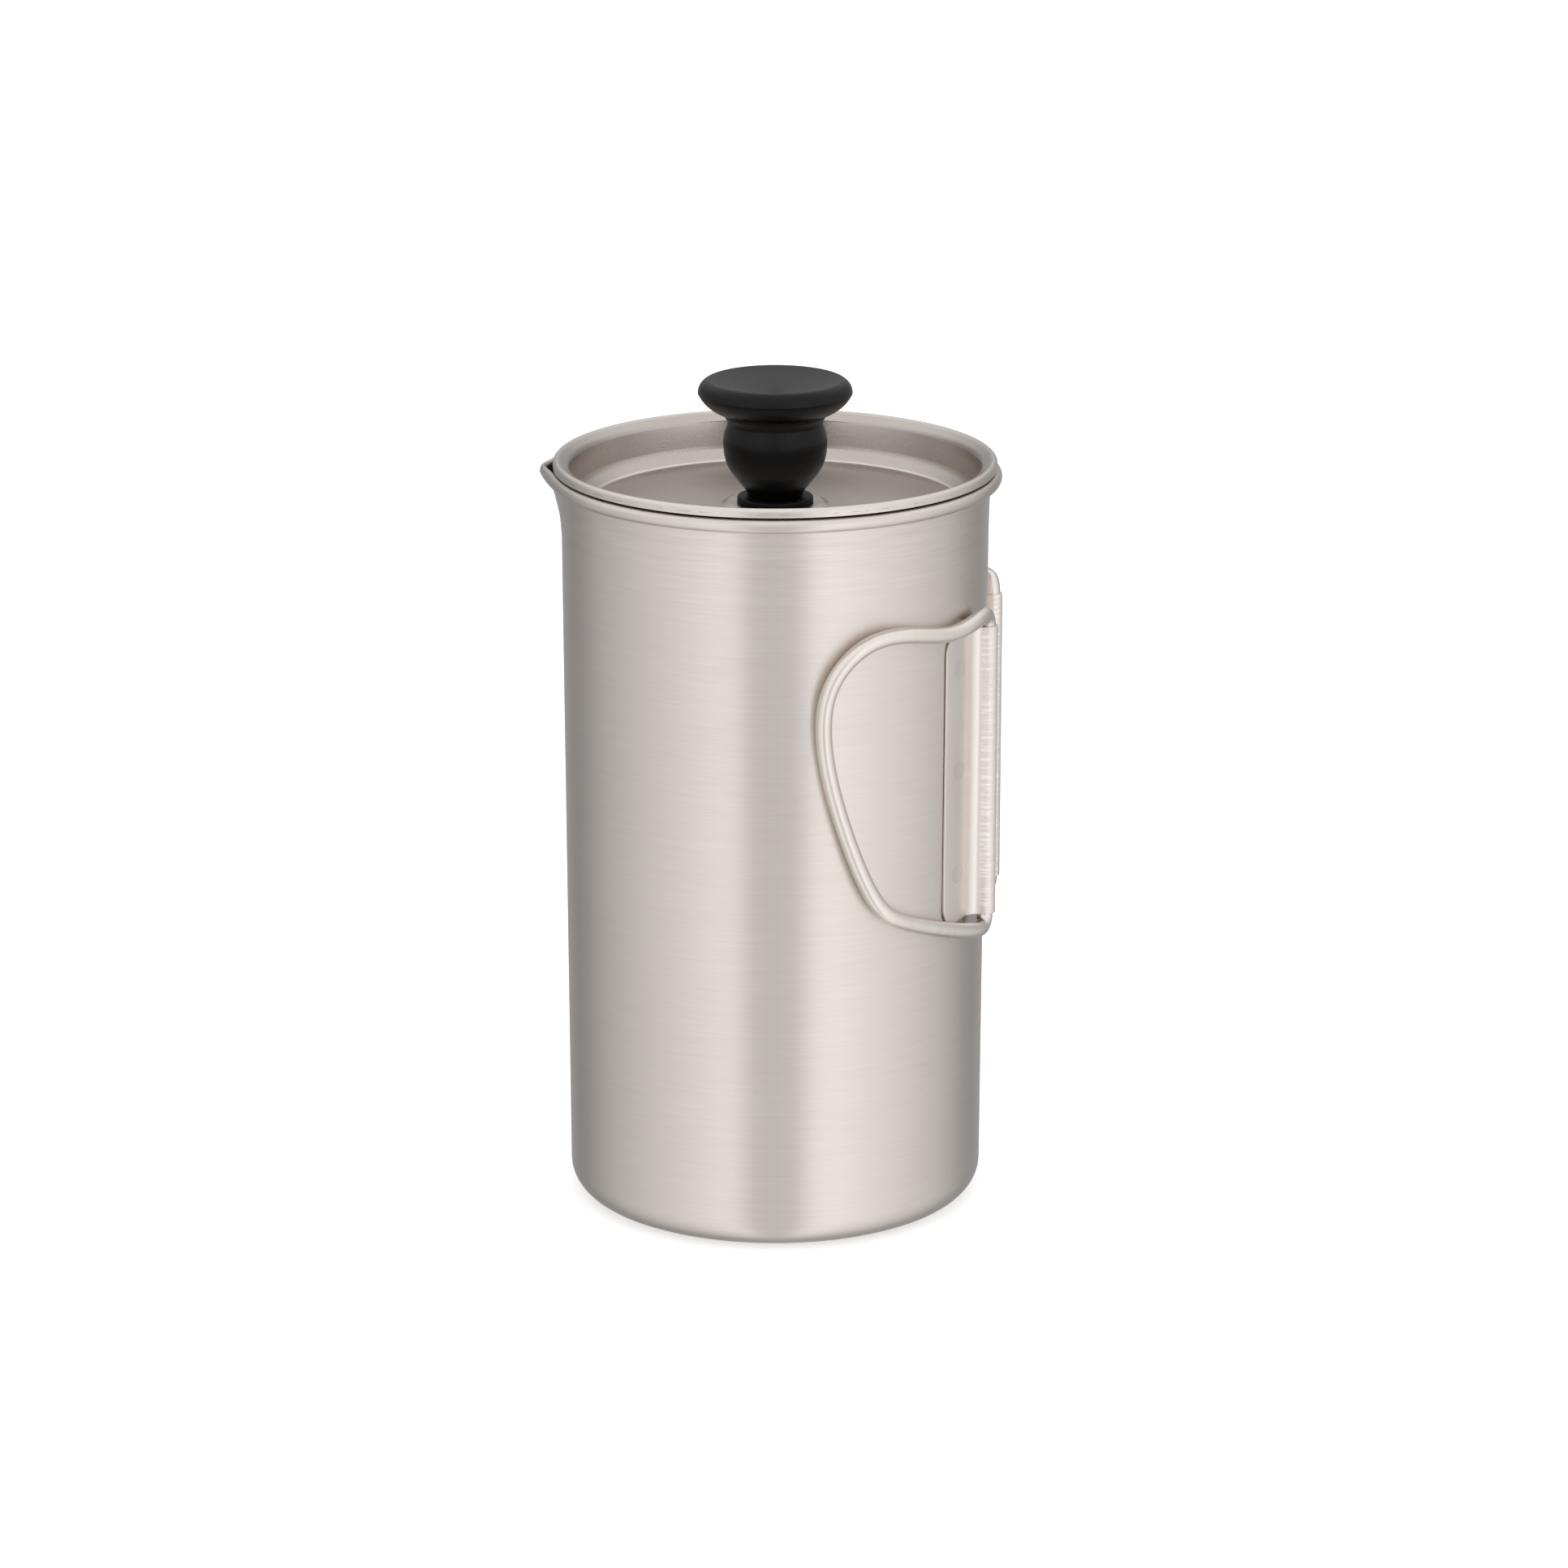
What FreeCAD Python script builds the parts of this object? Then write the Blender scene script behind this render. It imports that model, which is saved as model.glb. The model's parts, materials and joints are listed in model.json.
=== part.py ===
import FreeCAD, Part
import math
import operator
import os

import Sketcher

# French press for camping: a titanium pot with two folding wire handles, a sunk lid and a plunger with a
# sprung mesh filter. Millimetres. The origin is the centre of the pot's base on the resting plane, +Z is up,
# +X points between the two hinges and -X along the spout. The plunger is stored pressed down.

driving = {
    # pot: one drawn sheet, flat base, slightly tapered wall, flared mouth, curled bead, pulled spout
    "pot_height": 149.8,          # resting plane to the top of the bead
    "base_radius": 41.6,          # outside of the wall, where it would meet the resting plane
    "wall_taper": 0.75,           # how much the wall widens from the base to the flare
    "mouth_flare": 0.35,          # how much more it widens to the bead
    "flare_height": 12.5,         # from the start of the flare to the middle of the bead
    "wall": 0.5,
    "base_corner": 6.0,           # outer radius between base and wall
    "bead_radius": 1.35,
    "bead_bite": 0.05,            # how far the bead sits into the wall
    "spout_reach": 2.5,           # how far the spout's wall stands out past the round rim
    "spout_bead_pull": 0.6,       # how much less the bead follows it at the tip
    "spout_height": 15.0,
    "spout_tip_radius": 2.3,
    "spout_side_angle": 19.0,     # between the spout's middle and the square across its side
    "spout_inset": 0.2,           # the spout starts this far inside the wall's outer face
    "spout_side_length": 16.0,
    # hinges: sheet plates welded to the wall, each rolled round a wire
    "hinge_spread": 16.5,         # degrees from the middle plane to each hinge
    "hinge_drop": 28.1,           # from the bead down to the barrel's top
    "hinge_length": 59.1,
    "hinge_standoff": 0.25,       # from the wall's neck to the outside of the barrel
    "hinge_sheet": 0.4,
    "leaf_angle": 17.7,           # degrees of wall that the leaf covers
    "leaf_corner": 3.2,
    "heel_angle": 2.6,            # degrees of wall under the barrel that the rolled sheet fills
    "barrel_bite": 0.15,          # how far the heel reaches into the barrel's sheet
    "pin_play": 0.05,             # radial play of every running fit
    # handles: wire loops that follow the wall when folded
    "wire_radius": 1.6,
    "wire_bend": 2.6,             # bend where the wire leaves the barrel
    "wire_end_gap": 2.0,          # between the two ends inside the barrel
    "handle_reach": 44.8,         # along the wall from the hinge to the loop's far side
    "handle_crown": 0.9,          # the loop's top run rises this far past its first bend
    "handle_dip": 2.0,            # and dips this far before that
    "handle_hump": 1.5,           # height of its last point before it turns down
    "handle_swell": 0.35,         # control points of the loop outside its own radius
    "handle_pull": 4.42,          # how far the loop leaves its first bend straight
    # lid: pressed sheet, sunk into the mouth, its turned rim over the bead
    "lid_gap": 0.35,
    "lid_rim_inset": 0.95,        # the rim's outside, in from the bead's
    "lid_rim_depth": 2.8,
    "lid_lip_width": 3.2,
    "lid_lip_drop": 2.05,
    "lid_depth": 10.35,            # from the rim's crest to the floor
    "lid_wall_draft": 0.8,
    "lid_sheet": 0.5,
    "lid_floor_fillet": 4.0,
    "lid_lip_fillet": 1.0,
    "lid_crest_fillet": 0.45,
    "boss_radius": 9.5,
    "boss_rise": 0.5,
    "boss_slope": 1.0,
    # bush in the lid and the ring that locks it
    "bush_radius": 5.5,
    "bush_flange_radius": 7.55,
    "bush_flange": 1.05,
    "bush_tail": 3.6,             # how far the bush reaches below the lid's sheet
    "lock_ring_radius": 8.2,
    "lock_ring": 1.6,
    "bush_edge": 0.3,
    # knob and its insert
    "knob_gap": 0.1,              # between the foot and the bush at rest
    "knob_height": 23.35,
    "knob_foot_radius": 5.4,
    "knob_foot_flare": 0.3,
    "knob_foot_height": 0.9,
    "knob_shoulder_inset": 1.5,   # the bulb's underside, in from its widest place
    "knob_shoulder_height": 4.8,
    "knob_shoulder_bow": 8.75,    # radii of the rounds from foot to cap, going up
    "knob_bulb_bow": 9.8,
    "knob_waist_bow": 8.25,
    "knob_cap_bow": 7.15,
    "knob_bulb_radius": 10.3,
    "knob_bulb_height": 10.0,
    "knob_neck_radius": 9.5,
    "knob_neck_height": 14.6,
    "knob_neck_step": 0.7,        # the neck widens this much under the cap
    "knob_cap_height": 16.3,      # foot to the underside of the cap
    "knob_cap_radius": 15.3,
    "knob_cap_edge": 2.75,        # rounding of the cap's edge
    "knob_crest_inset": 2.05,     # the cap's highest ring, in from its edge
    "knob_dish": 2.2,
    "insert_radius": 4.0,
    "insert_length": 12.0,
    "insert_sink": 1.0,           # the insert starts this far up the foot
    # rod
    "rod_radius": 2.5,
    "stud_radius": 2.0,           # threaded ends
    "stud_in_knob": 9.0,
    # filter stack
    "floor_gap": 3.1,             # nut to the pot's floor with the plunger down
    "seal_gap": 0.3,              # filter edge to the narrowest wall
    "nut_across": 10.0,
    "nut_height": 2.4,
    "nut_tip": 0.4,               # the stud stays this far inside the nut
    "cross_inset": 6.8,           # edge of the cross plate, in from the filter's edge
    "cross_sheet": 1.0,
    "cross_hole_radius": 6.5,
    "mesh_sheet": 0.3,
    "mesh_rim_margin": 0.75,      # turned-up rim above the spring
    "plate_sheet": 0.5,
    "plate_rim_width": 7.4,       # from the flat to the edge that carries the spring
    "plate_edge_inset": 1.6,      # plate edge inside the mesh rim
    "plate_hole_radius": 1.5,
    "plate_hole_margin": 3.5,     # from the flat's edge to the outer ring of holes
    "plate_hole_pitch": 7.3,
    "plate_ring_step": 8.0,
    "spring_radius": 2.0,         # radius of the coil
    "spring_lift": 0.15,          # between the coil and the mesh under it
    "spring_play": 0.1,
    "collar_radius": 8.0,
    "collar_height": 3.0,
    "collar_edge": 0.8,
}

doc = FreeCAD.newDocument("french_press")
sheet = doc.addObject("Spreadsheet::Sheet", "sizes")


class Size:
    """A value tied to the sheet: what it is now, and the expression that keeps it true."""

    def __init__(self, value, text):
        self.value, self.text = value, text

    def __add__(self, other):
        return join(self, "+", other)

    def __sub__(self, other):
        return join(self, "-", other)

    def __mul__(self, other):
        return join(self, "*", other)

    def __truediv__(self, other):
        return join(self, "/", other)

    def __neg__(self):
        return join(0, "-", self)


def as_size(number):
    return number if isinstance(number, Size) else Size(float(number), repr(float(number)))


def join(left, sign, right):
    work = {"+": operator.add, "-": operator.sub, "*": operator.mul, "/": operator.truediv}[sign]
    left, right = as_size(left), as_size(right)
    return Size(work(left.value, right.value), f"({left.text} {sign} {right.text})")


def cosine(angle):
    return Size(math.cos(math.radians(angle.value)), f"cos({angle.text})")


def sine(angle):
    return Size(math.sin(math.radians(angle.value)), f"sin({angle.text})")


def arc_cosine(ratio):
    return Size(math.degrees(math.acos(ratio.value)), f"(acos({ratio.text}) / 1 deg)")


def fill_sheet():
    for row, (name, value) in enumerate(driving.items(), 1):
        sheet.set(f"A{row}", name)
        sheet.set(f"B{row}", str(value))
        sheet.setAlias(f"B{row}", name)
    doc.recompute()
    return {name: Size(float(value), f"sizes.{name}") for name, value in driving.items()}


size = fill_sheet()
zero = as_size(0)


# ---------------------------------------------------------------- helpers

def bind(thing, field, value):
    thing.setExpression(field, value.text)


def new_body(label, height=None, turn=None):
    """An empty body; height lifts it and turn swings it about the pot's axis, in degrees."""
    body = doc.addObject("PartDesign::Body", label)
    body.Label = label
    place(body, height, turn)
    return body


def place(thing, height=None, turn=None):
    if turn is not None:
        swing = FreeCAD.Rotation(FreeCAD.Vector(0, 0, 1), turn.value)
        thing.Placement = FreeCAD.Placement(FreeCAD.Vector(), swing)
        bind(thing, "Placement.Rotation.Angle", turn)
    if height is not None:
        bind(thing, "Placement.Base.z", height)


def new_sketch(body, name, plane, height=None):
    sketch = body.newObject("Sketcher::SketchObject", name)
    origin_plane = next(part for part in body.Origin.OriginFeatures if part.Role == plane)
    sketch.AttachmentSupport = (origin_plane, "")
    sketch.MapMode = "FlatFace"
    if height is not None:
        bind(sketch, "AttachmentOffset.Base.z", height)
    return sketch


def tie(sketch, geometry, point, corner):
    """Hold one point of a sketch at its two distances from the origin."""
    for kind, axis, distance in (("DistanceX", -2, corner[0]), ("DistanceY", -1, corner[1])):
        distance = as_size(distance)
        if distance.text == zero.text:
            sketch.addConstraint(Sketcher.Constraint("PointOnObject", geometry, point, axis))
        else:
            number = sketch.addConstraint(Sketcher.Constraint(kind, -1, 1, geometry, point, distance.value))
            sketch.setExpression(f"Constraints[{number}]", distance.text)


def arc_through(start, end, radius, side):
    """Arc from start to end with its centre to the left (side 1) or to the right (side -1) of the way."""
    chord = end - start
    middle = (start + end) / 2
    height = math.sqrt(max(radius ** 2 - (chord.Length / 2) ** 2, 0))
    normal = FreeCAD.Vector(-chord.y, chord.x, 0).normalize()
    centre = middle + normal * height * side
    first, last = (start, end) if side > 0 else (end, start)
    angles = [math.atan2(point.y - centre.y, point.x - centre.x) for point in (first, last)]
    circle = Part.Circle(centre, FreeCAD.Vector(0, 0, 1), radius)
    return Part.ArcOfCircle(circle, *angles)


def draw(sketch, corners, arcs=None, closed=True):
    """Straight runs from corner to corner; arcs gives (radius, side) for the runs that are round."""
    arcs = arcs or {}
    spots = [FreeCAD.Vector(as_size(x).value, as_size(y).value, 0) for x, y in corners]
    count = len(corners)
    runs = count if closed else count - 1
    ends = []
    for index in range(runs):
        start, end = spots[index], spots[(index + 1) % count]
        if index in arcs:
            radius, side = arcs[index]
            sketch.addGeometry(arc_through(start, end, radius.value, side), False)
            ends.append((1, 2) if side > 0 else (2, 1))
        else:
            sketch.addGeometry(Part.LineSegment(start, end), False)
            ends.append((1, 2))
    for index in range(runs):
        tie(sketch, index, ends[index][0], corners[index])
        following = (index + 1) % runs
        if closed or following:
            sketch.addConstraint(Sketcher.Constraint("Coincident", index, ends[index][1],
                                                     following, ends[following][0]))
        else:
            tie(sketch, index, ends[index][1], corners[-1])
        if index in arcs:
            number = sketch.addConstraint(Sketcher.Constraint("Radius", index, arcs[index][0].value))
            sketch.setExpression(f"Constraints[{number}]", arcs[index][0].text)
    return sketch


def draw_circle(sketch, radius, centre=(0, 0)):
    spot = FreeCAD.Vector(as_size(centre[0]).value, as_size(centre[1]).value, 0)
    index = sketch.addGeometry(Part.Circle(spot, FreeCAD.Vector(0, 0, 1), radius.value), False)
    if spot.Length:
        tie(sketch, index, 3, centre)
    else:
        sketch.addConstraint(Sketcher.Constraint("Coincident", index, 3, -1, 1))
    number = sketch.addConstraint(Sketcher.Constraint("Radius", index, radius.value))
    sketch.setExpression(f"Constraints[{number}]", radius.text)
    return sketch


def revolve(body, kind, sketch, angle=None, backwards=False):
    turn = body.newObject(f"PartDesign::{kind}", f"{sketch.Name}_turned")
    turn.Profile = sketch
    turn.ReferenceAxis = (sketch, ["V_Axis"])
    turn.Angle = 360
    if angle is not None:
        turn.Angle = angle.value
        bind(turn, "Angle", angle)
    turn.Reversed = backwards
    sketch.Visibility = False
    return turn


def pad(body, sketch, length):
    block = body.newObject("PartDesign::Pad", f"{sketch.Name}_pad")
    block.Profile = sketch
    block.Length = length.value
    bind(block, "Length", length)
    return block


def cut_through(body, sketch):
    """Pocket right through the body, both ways from its sketch."""
    pocket = body.newObject("PartDesign::Pocket", f"{sketch.Name}_cut")
    pocket.Profile = sketch
    pocket.Type = "ThroughAll"
    pocket.Midplane = True
    return pocket


def repeat_round(body, feature, sketch, count):
    doc.recompute()
    pattern = body.newObject("PartDesign::PolarPattern", f"{feature.Name}_ring")
    pattern.Originals = [feature]
    pattern.Axis = (sketch, ["N_Axis"])
    pattern.Angle = 360
    pattern.Occurrences = count
    body.Tip = pattern
    return pattern


def round_rings(body, radius, rings):
    """Fillet the circular edges that lie at these (radius, height) pairs of the body's own frame."""
    doc.recompute()
    base = body.Tip
    names = []
    for ring_radius, ring_height in rings:
        for number, edge in enumerate(base.Shape.Edges, 1):
            curve = edge.Curve
            if isinstance(curve, Part.Circle) and abs(curve.Radius - as_size(ring_radius).value) < 1e-3 \
                    and abs(curve.Center.z - as_size(ring_height).value) < 1e-3:
                names.append(f"Edge{number}")
    if len(names) < len(rings):
        raise RuntimeError(f"{body.Label}: an edge to round is missing")
    return round_edges(body, radius, names)


def round_edges(body, radius, names):
    fillet = body.newObject("PartDesign::Fillet", f"{body.Name}_fillet")
    fillet.Base = (body.Tip if body.Tip != fillet else fillet.BaseFeature, names)
    fillet.Radius = radius.value
    bind(fillet, "Radius", radius)
    return fillet


# ---------------------------------------------------------------- shared places

neck_radius = size["base_radius"] + size["wall_taper"]
rim_radius = neck_radius + size["mouth_flare"]
bead_height = size["pot_height"] - size["bead_radius"]
bead_line_radius = rim_radius - size["wall"] + size["bead_radius"] + size["bead_bite"]
neck_height = bead_height - size["flare_height"]


def wall_radius(height):
    """Outside of the tapered wall at a height below the flare."""
    return size["base_radius"] + size["wall_taper"] * height / neck_height


lid_height = size["pot_height"] + size["lid_gap"]
lid_crest = size["lid_rim_depth"]
lid_floor = lid_crest - size["lid_depth"]
boss_top = lid_floor + size["boss_rise"]
bush_height = lid_height + boss_top
flange_top = size["pin_play"] + size["bush_flange"]
knob_height = bush_height + flange_top + size["knob_gap"]

nut_height = size["wall"] + size["floor_gap"]
cross_height = nut_height + size["nut_height"]
mesh_height = cross_height + size["cross_sheet"]
plate_height = mesh_height + size["mesh_sheet"]
collar_height = plate_height + size["plate_sheet"]
filter_radius = size["base_radius"] - size["wall"] - size["seal_gap"]
nut_reach = size["nut_across"] / (cosine(as_size(30)) * 2)      # centre to corner
rod_bore = size["rod_radius"] + size["pin_play"]
stud_bore = size["stud_radius"] + size["pin_play"]
plate_rise = size["spring_radius"] + size["spring_lift"] - size["plate_sheet"] / 2
plate_edge = filter_radius - size["mesh_sheet"] - size["plate_edge_inset"]

barrel_inner = size["wire_radius"] + size["pin_play"]
barrel_outer = barrel_inner + size["hinge_sheet"]
hinge_radius = neck_radius + size["hinge_standoff"] + barrel_outer
barrel_bottom = size["pot_height"] - size["hinge_drop"] - size["hinge_length"]


# ---------------------------------------------------------------- pot

def pot_profile(sketch, inset):
    """Half section of the pot's skin, moved inwards by inset, closed along the axis."""
    corner = size["base_corner"] - inset
    foot_radius = wall_radius(size["base_corner"])
    flare = size["flare_height"]
    widening = size["mouth_flare"]
    flare_bend = (flare * flare + widening * widening) / (widening * 2)
    draw(sketch, [
        (zero, inset),
        (foot_radius - size["base_corner"], inset),
        (foot_radius - inset, size["base_corner"]),
        (neck_radius - inset, neck_height),
        (rim_radius - inset, bead_height),
        (zero, bead_height),
    ], {1: (corner, 1), 3: (flare_bend, -1)})


def spout_section(sketch, inset):
    """Rounded nose with two straight sides that run back inside the pot's wall."""
    tip = size["spout_tip_radius"] - inset
    angle = size["spout_side_angle"]
    length = size["spout_side_length"]
    touch_x = -(spout_start + tip * cosine(angle))
    touch_y = tip * sine(angle)
    back_x = touch_x + length * sine(angle)
    back_y = touch_y + length * cosine(angle)
    corners = [(touch_x, -touch_y), (back_x, -back_y), (back_x, back_y), (touch_x, touch_y)]
    draw(sketch, corners, {3: (tip, 1)})


spout_foot = bead_height - size["spout_height"]
spout_start = wall_radius(spout_foot) - size["spout_inset"] - size["spout_tip_radius"]
spout_end = rim_radius + size["spout_reach"] - size["spout_tip_radius"]


def spout_path(body, name):
    """Arc that leaves the wall upright and bends outwards to the lip."""
    run = spout_end - spout_start
    rise = size["spout_height"]
    bend = (rise * rise + run * run) / (run * 2)
    return draw(new_sketch(body, name, "XZ_Plane"),
                [(-spout_start, spout_foot), (-spout_end, bead_height)], {0: (bend, 1)}, closed=False)


def sweep(body, kind, name, section, path, fixed=False):
    pipe = body.newObject(f"PartDesign::{kind}", name)
    pipe.Profile = section
    pipe.Spine = path
    pipe.Mode = "Fixed" if fixed else "Standard"
    return pipe


def rim_outline(body, name):
    """Round rim with the spout's rounded point, as straight sides that touch both circles."""
    round_part = bead_line_radius
    bead_offset = bead_line_radius - rim_radius
    tip = size["spout_tip_radius"] + bead_offset - size["spout_bead_pull"]
    side = arc_cosine((round_part - tip) / spout_end)
    touch_x = -(round_part * cosine(side))
    touch_y = round_part * sine(side)
    tip_x = -(spout_end + tip * cosine(side))
    tip_y = tip * sine(side)
    return draw(new_sketch(body, name, "XY_Plane", bead_height), [
        (round_part, zero), (touch_x, touch_y), (tip_x, tip_y), (tip_x, -tip_y), (touch_x, -touch_y),
    ], {0: (round_part, 1), 2: (tip, 1), 4: (round_part, 1)})


def make_pot():
    body = new_body("pot_shell")
    outside = new_sketch(body, "pot_outside", "XZ_Plane")
    pot_profile(outside, zero)
    revolve(body, "Revolution", outside)
    nose = new_sketch(body, "spout_outside", "XY_Plane", spout_foot)
    spout_section(nose, zero)
    sweep(body, "AdditivePipe", "spout_nose", nose, spout_path(body, "spout_outer_path"), fixed=True)
    inside = new_sketch(body, "pot_inside", "XZ_Plane")
    pot_profile(inside, size["wall"])
    revolve(body, "Groove", inside)
    hollow = new_sketch(body, "spout_inside", "XY_Plane", spout_foot)
    spout_section(hollow, size["wall"])
    sweep(body, "SubtractivePipe", "spout_channel", hollow, spout_path(body, "spout_inner_path"), fixed=True)
    bead_section = new_sketch(body, "bead_section", "XZ_Plane")
    draw_circle(bead_section, size["bead_radius"], (bead_line_radius, bead_height))
    sweep(body, "AdditivePipe", "bead", bead_section, rim_outline(body, "rim_outline"))
    return body


# ---------------------------------------------------------------- hinges and handles

def make_hinge_plate(label, side):
    """Leaf on the wall, heel and rolled barrel; side is -1 at the front, 1 at the rear."""
    body = new_body(label, barrel_bottom, size["hinge_spread"] * side)
    length = size["hinge_length"]
    low, high = wall_radius(barrel_bottom), wall_radius(barrel_bottom + length)
    leaf = draw(new_sketch(body, f"{label}_leaf", "XZ_Plane"), [
        (low, zero), (low + size["hinge_sheet"], zero),
        (high + size["hinge_sheet"], length), (high, length)])
    revolve(body, "Revolution", leaf, size["leaf_angle"], backwards=side < 0)
    doc.recompute()
    edges = list(enumerate(body.Tip.Shape.Edges, 1))
    far = max(abs(edge.CenterOfMass.y) for _, edge in edges)
    sheet_wide = size["hinge_sheet"].value + size["wall_taper"].value
    corners = [f"Edge{number}" for number, edge in edges
               if edge.Length < sheet_wide and far - abs(edge.CenterOfMass.y) < sheet_wide]
    round_edges(body, size["leaf_corner"], corners)
    heel_edge = hinge_radius - barrel_inner - size["barrel_bite"]
    heel = draw(new_sketch(body, f"{label}_heel", "XZ_Plane"), [
        (low, zero), (heel_edge, zero), (heel_edge, length), (high, length)])
    turned = revolve(body, "Revolution", heel, size["heel_angle"])
    turned.Midplane = True
    barrel = new_sketch(body, f"{label}_barrel", "XY_Plane")
    draw_circle(barrel, barrel_outer, (hinge_radius, zero))
    pad(body, barrel, length)
    bore = new_sketch(body, f"{label}_bore", "XY_Plane")
    draw_circle(bore, barrel_inner, (hinge_radius, zero))
    cut_through(body, bore)
    return body


def handle_path(side):
    """Centre line of the wire in the hinge's frame: up the barrel, round the loop and back in from below."""
    reach, bend, pull = (size[name].value for name in ("handle_reach", "wire_bend", "handle_pull"))
    radius, length = hinge_radius.value, size["hinge_length"].value
    half_gap = size["wire_end_gap"].value / 2
    crown, dip, hump = (size[f"handle_{name}"].value for name in ("crown", "dip", "hump"))
    top, bottom = length + bend, -bend

    def on_wall(share, height):
        """Control point at a share of the reach; the spline runs inside its points."""
        angle = side * share * reach / radius
        outer = radius + size["handle_swell"].value
        return FreeCAD.Vector(outer * math.cos(angle), outer * math.sin(angle), height)

    def corner(height, sign):
        """Quarter bend at the barrel's end: three points on it and the loop's first control point."""
        side_step = FreeCAD.Vector(0, side * bend, 0)
        rise = FreeCAD.Vector(0, 0, sign * bend)
        start = FreeCAD.Vector(radius, 0, height)
        lean = math.sqrt(0.5)
        end = start + side_step + rise
        first_pole = end + FreeCAD.Vector(0, side * pull, 0)
        return start, start + side_step * (1 - lean) + rise * lean, end, first_pole

    upper, lower = corner(length, 1), corner(0, -1)
    poles = [upper[2], upper[3]]
    # the loop by hand: share of the reach, and height from the top and then from the bottom
    from_top = [(0.31, -dip), (0.56, crown), (0.80, hump), (1.0, -7.3), (1.007, -20.4)]
    from_bottom = [(0.926, 29.3), (0.763, 10.3), (0.60, 6.4)]
    poles += [on_wall(share, top + rise) for share, rise in from_top]
    poles += [on_wall(share, bottom + rise) for share, rise in from_bottom]
    poles += [lower[3], lower[2]]
    curve = Part.BSplineCurve()
    curve.buildFromPoles(poles, False, 3)
    middle = length / 2
    return Part.Wire([
        Part.LineSegment(FreeCAD.Vector(radius, 0, middle + half_gap), upper[0]).toShape(),
        Part.Arc(*upper[:3]).toShape(),
        curve.toShape(),
        Part.Arc(*reversed(lower[:3])).toShape(),
        Part.LineSegment(lower[0], FreeCAD.Vector(radius, 0, middle - half_gap)).toShape(),
    ])


def make_handle(label, side):
    """The loop follows a curved wall, which no sketch plane holds, so its path is a shape of its own."""
    path = doc.addObject("Part::Feature", f"{label}_path")
    path.Shape = handle_path(side)
    section = doc.addObject("Part::Circle", f"{label}_section")
    bind(section, "Radius", size["wire_radius"])
    bind(section, "Placement.Base.x", hinge_radius)
    bind(section, "Placement.Base.z", (size["hinge_length"] + size["wire_end_gap"]) / 2)
    wire = doc.addObject("Part::Sweep", label)
    wire.Label = label
    wire.Sections = [section]
    wire.Spine = (path, [f"Edge{number}" for number in range(1, len(path.Shape.Edges) + 1)])
    wire.Solid = True
    wire.Frenet = False
    wire.Transition = "Right corner"
    place(wire, barrel_bottom, size["hinge_spread"] * side)
    return wire


# ---------------------------------------------------------------- lid and bush

def make_lid():
    body = new_body("lid_pan", lid_height)
    sheet_gap = size["lid_sheet"]
    rim = bead_line_radius + size["bead_radius"] - size["lid_rim_inset"]
    lip = rim - size["lid_lip_width"]
    lip_height = lid_crest - size["lid_lip_drop"]
    foot = lip - size["lid_wall_draft"]
    boss = size["boss_radius"]
    boss_foot = boss + size["boss_slope"]
    hole = size["bush_radius"] + size["pin_play"]
    top = [(hole, boss_top), (boss, boss_top), (boss_foot, lid_floor), (foot, lid_floor),
           (lip, lip_height), (rim, lid_crest), (rim, zero)]
    under = [(rim - sheet_gap, zero), (rim - sheet_gap, lid_crest - sheet_gap),
             (lip + sheet_gap, lip_height - sheet_gap), (foot + sheet_gap, lid_floor - sheet_gap),
             (boss_foot, lid_floor - sheet_gap), (boss, boss_top - sheet_gap), (hole, boss_top - sheet_gap)]
    section = draw(new_sketch(body, "lid_section", "XZ_Plane"), top + under)
    revolve(body, "Revolution", section)
    round_rings(body, size["lid_floor_fillet"], [top[3]])
    round_rings(body, size["lid_floor_fillet"] + sheet_gap, [under[3]])
    round_rings(body, size["lid_lip_fillet"] + sheet_gap, [top[4]])
    round_rings(body, size["lid_lip_fillet"], [under[2]])
    round_rings(body, size["lid_crest_fillet"] + sheet_gap, [top[5]])
    round_rings(body, size["lid_crest_fillet"], [under[1]])
    return body


def make_bush():
    body = new_body("guide_bush", bush_height)
    play = size["pin_play"]
    tail = -(size["lid_sheet"] + size["bush_tail"])
    section = draw(new_sketch(body, "bush_section", "XZ_Plane"), [
        (rod_bore, tail), (size["bush_radius"], tail), (size["bush_radius"], play),
        (size["bush_flange_radius"], play), (size["bush_flange_radius"], flange_top), (rod_bore, flange_top)])
    revolve(body, "Revolution", section)
    edges = [(size["bush_flange_radius"], flange_top), (size["bush_radius"], tail)]
    round_rings(body, size["bush_edge"], edges)
    return body


def make_lock_ring():
    body = new_body("bush_lock_ring", bush_height - size["lid_sheet"] - size["pin_play"] - size["lock_ring"])
    bore = size["bush_radius"] + size["pin_play"]
    section = draw(new_sketch(body, "lock_ring_section", "XZ_Plane"), [
        (bore, zero), (size["lock_ring_radius"], zero), (size["lock_ring_radius"], size["lock_ring"]),
        (bore, size["lock_ring"])])
    revolve(body, "Revolution", section)
    round_rings(body, size["bush_edge"], [(size["lock_ring_radius"], zero)])
    return body


# ---------------------------------------------------------------- knob and rod

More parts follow.
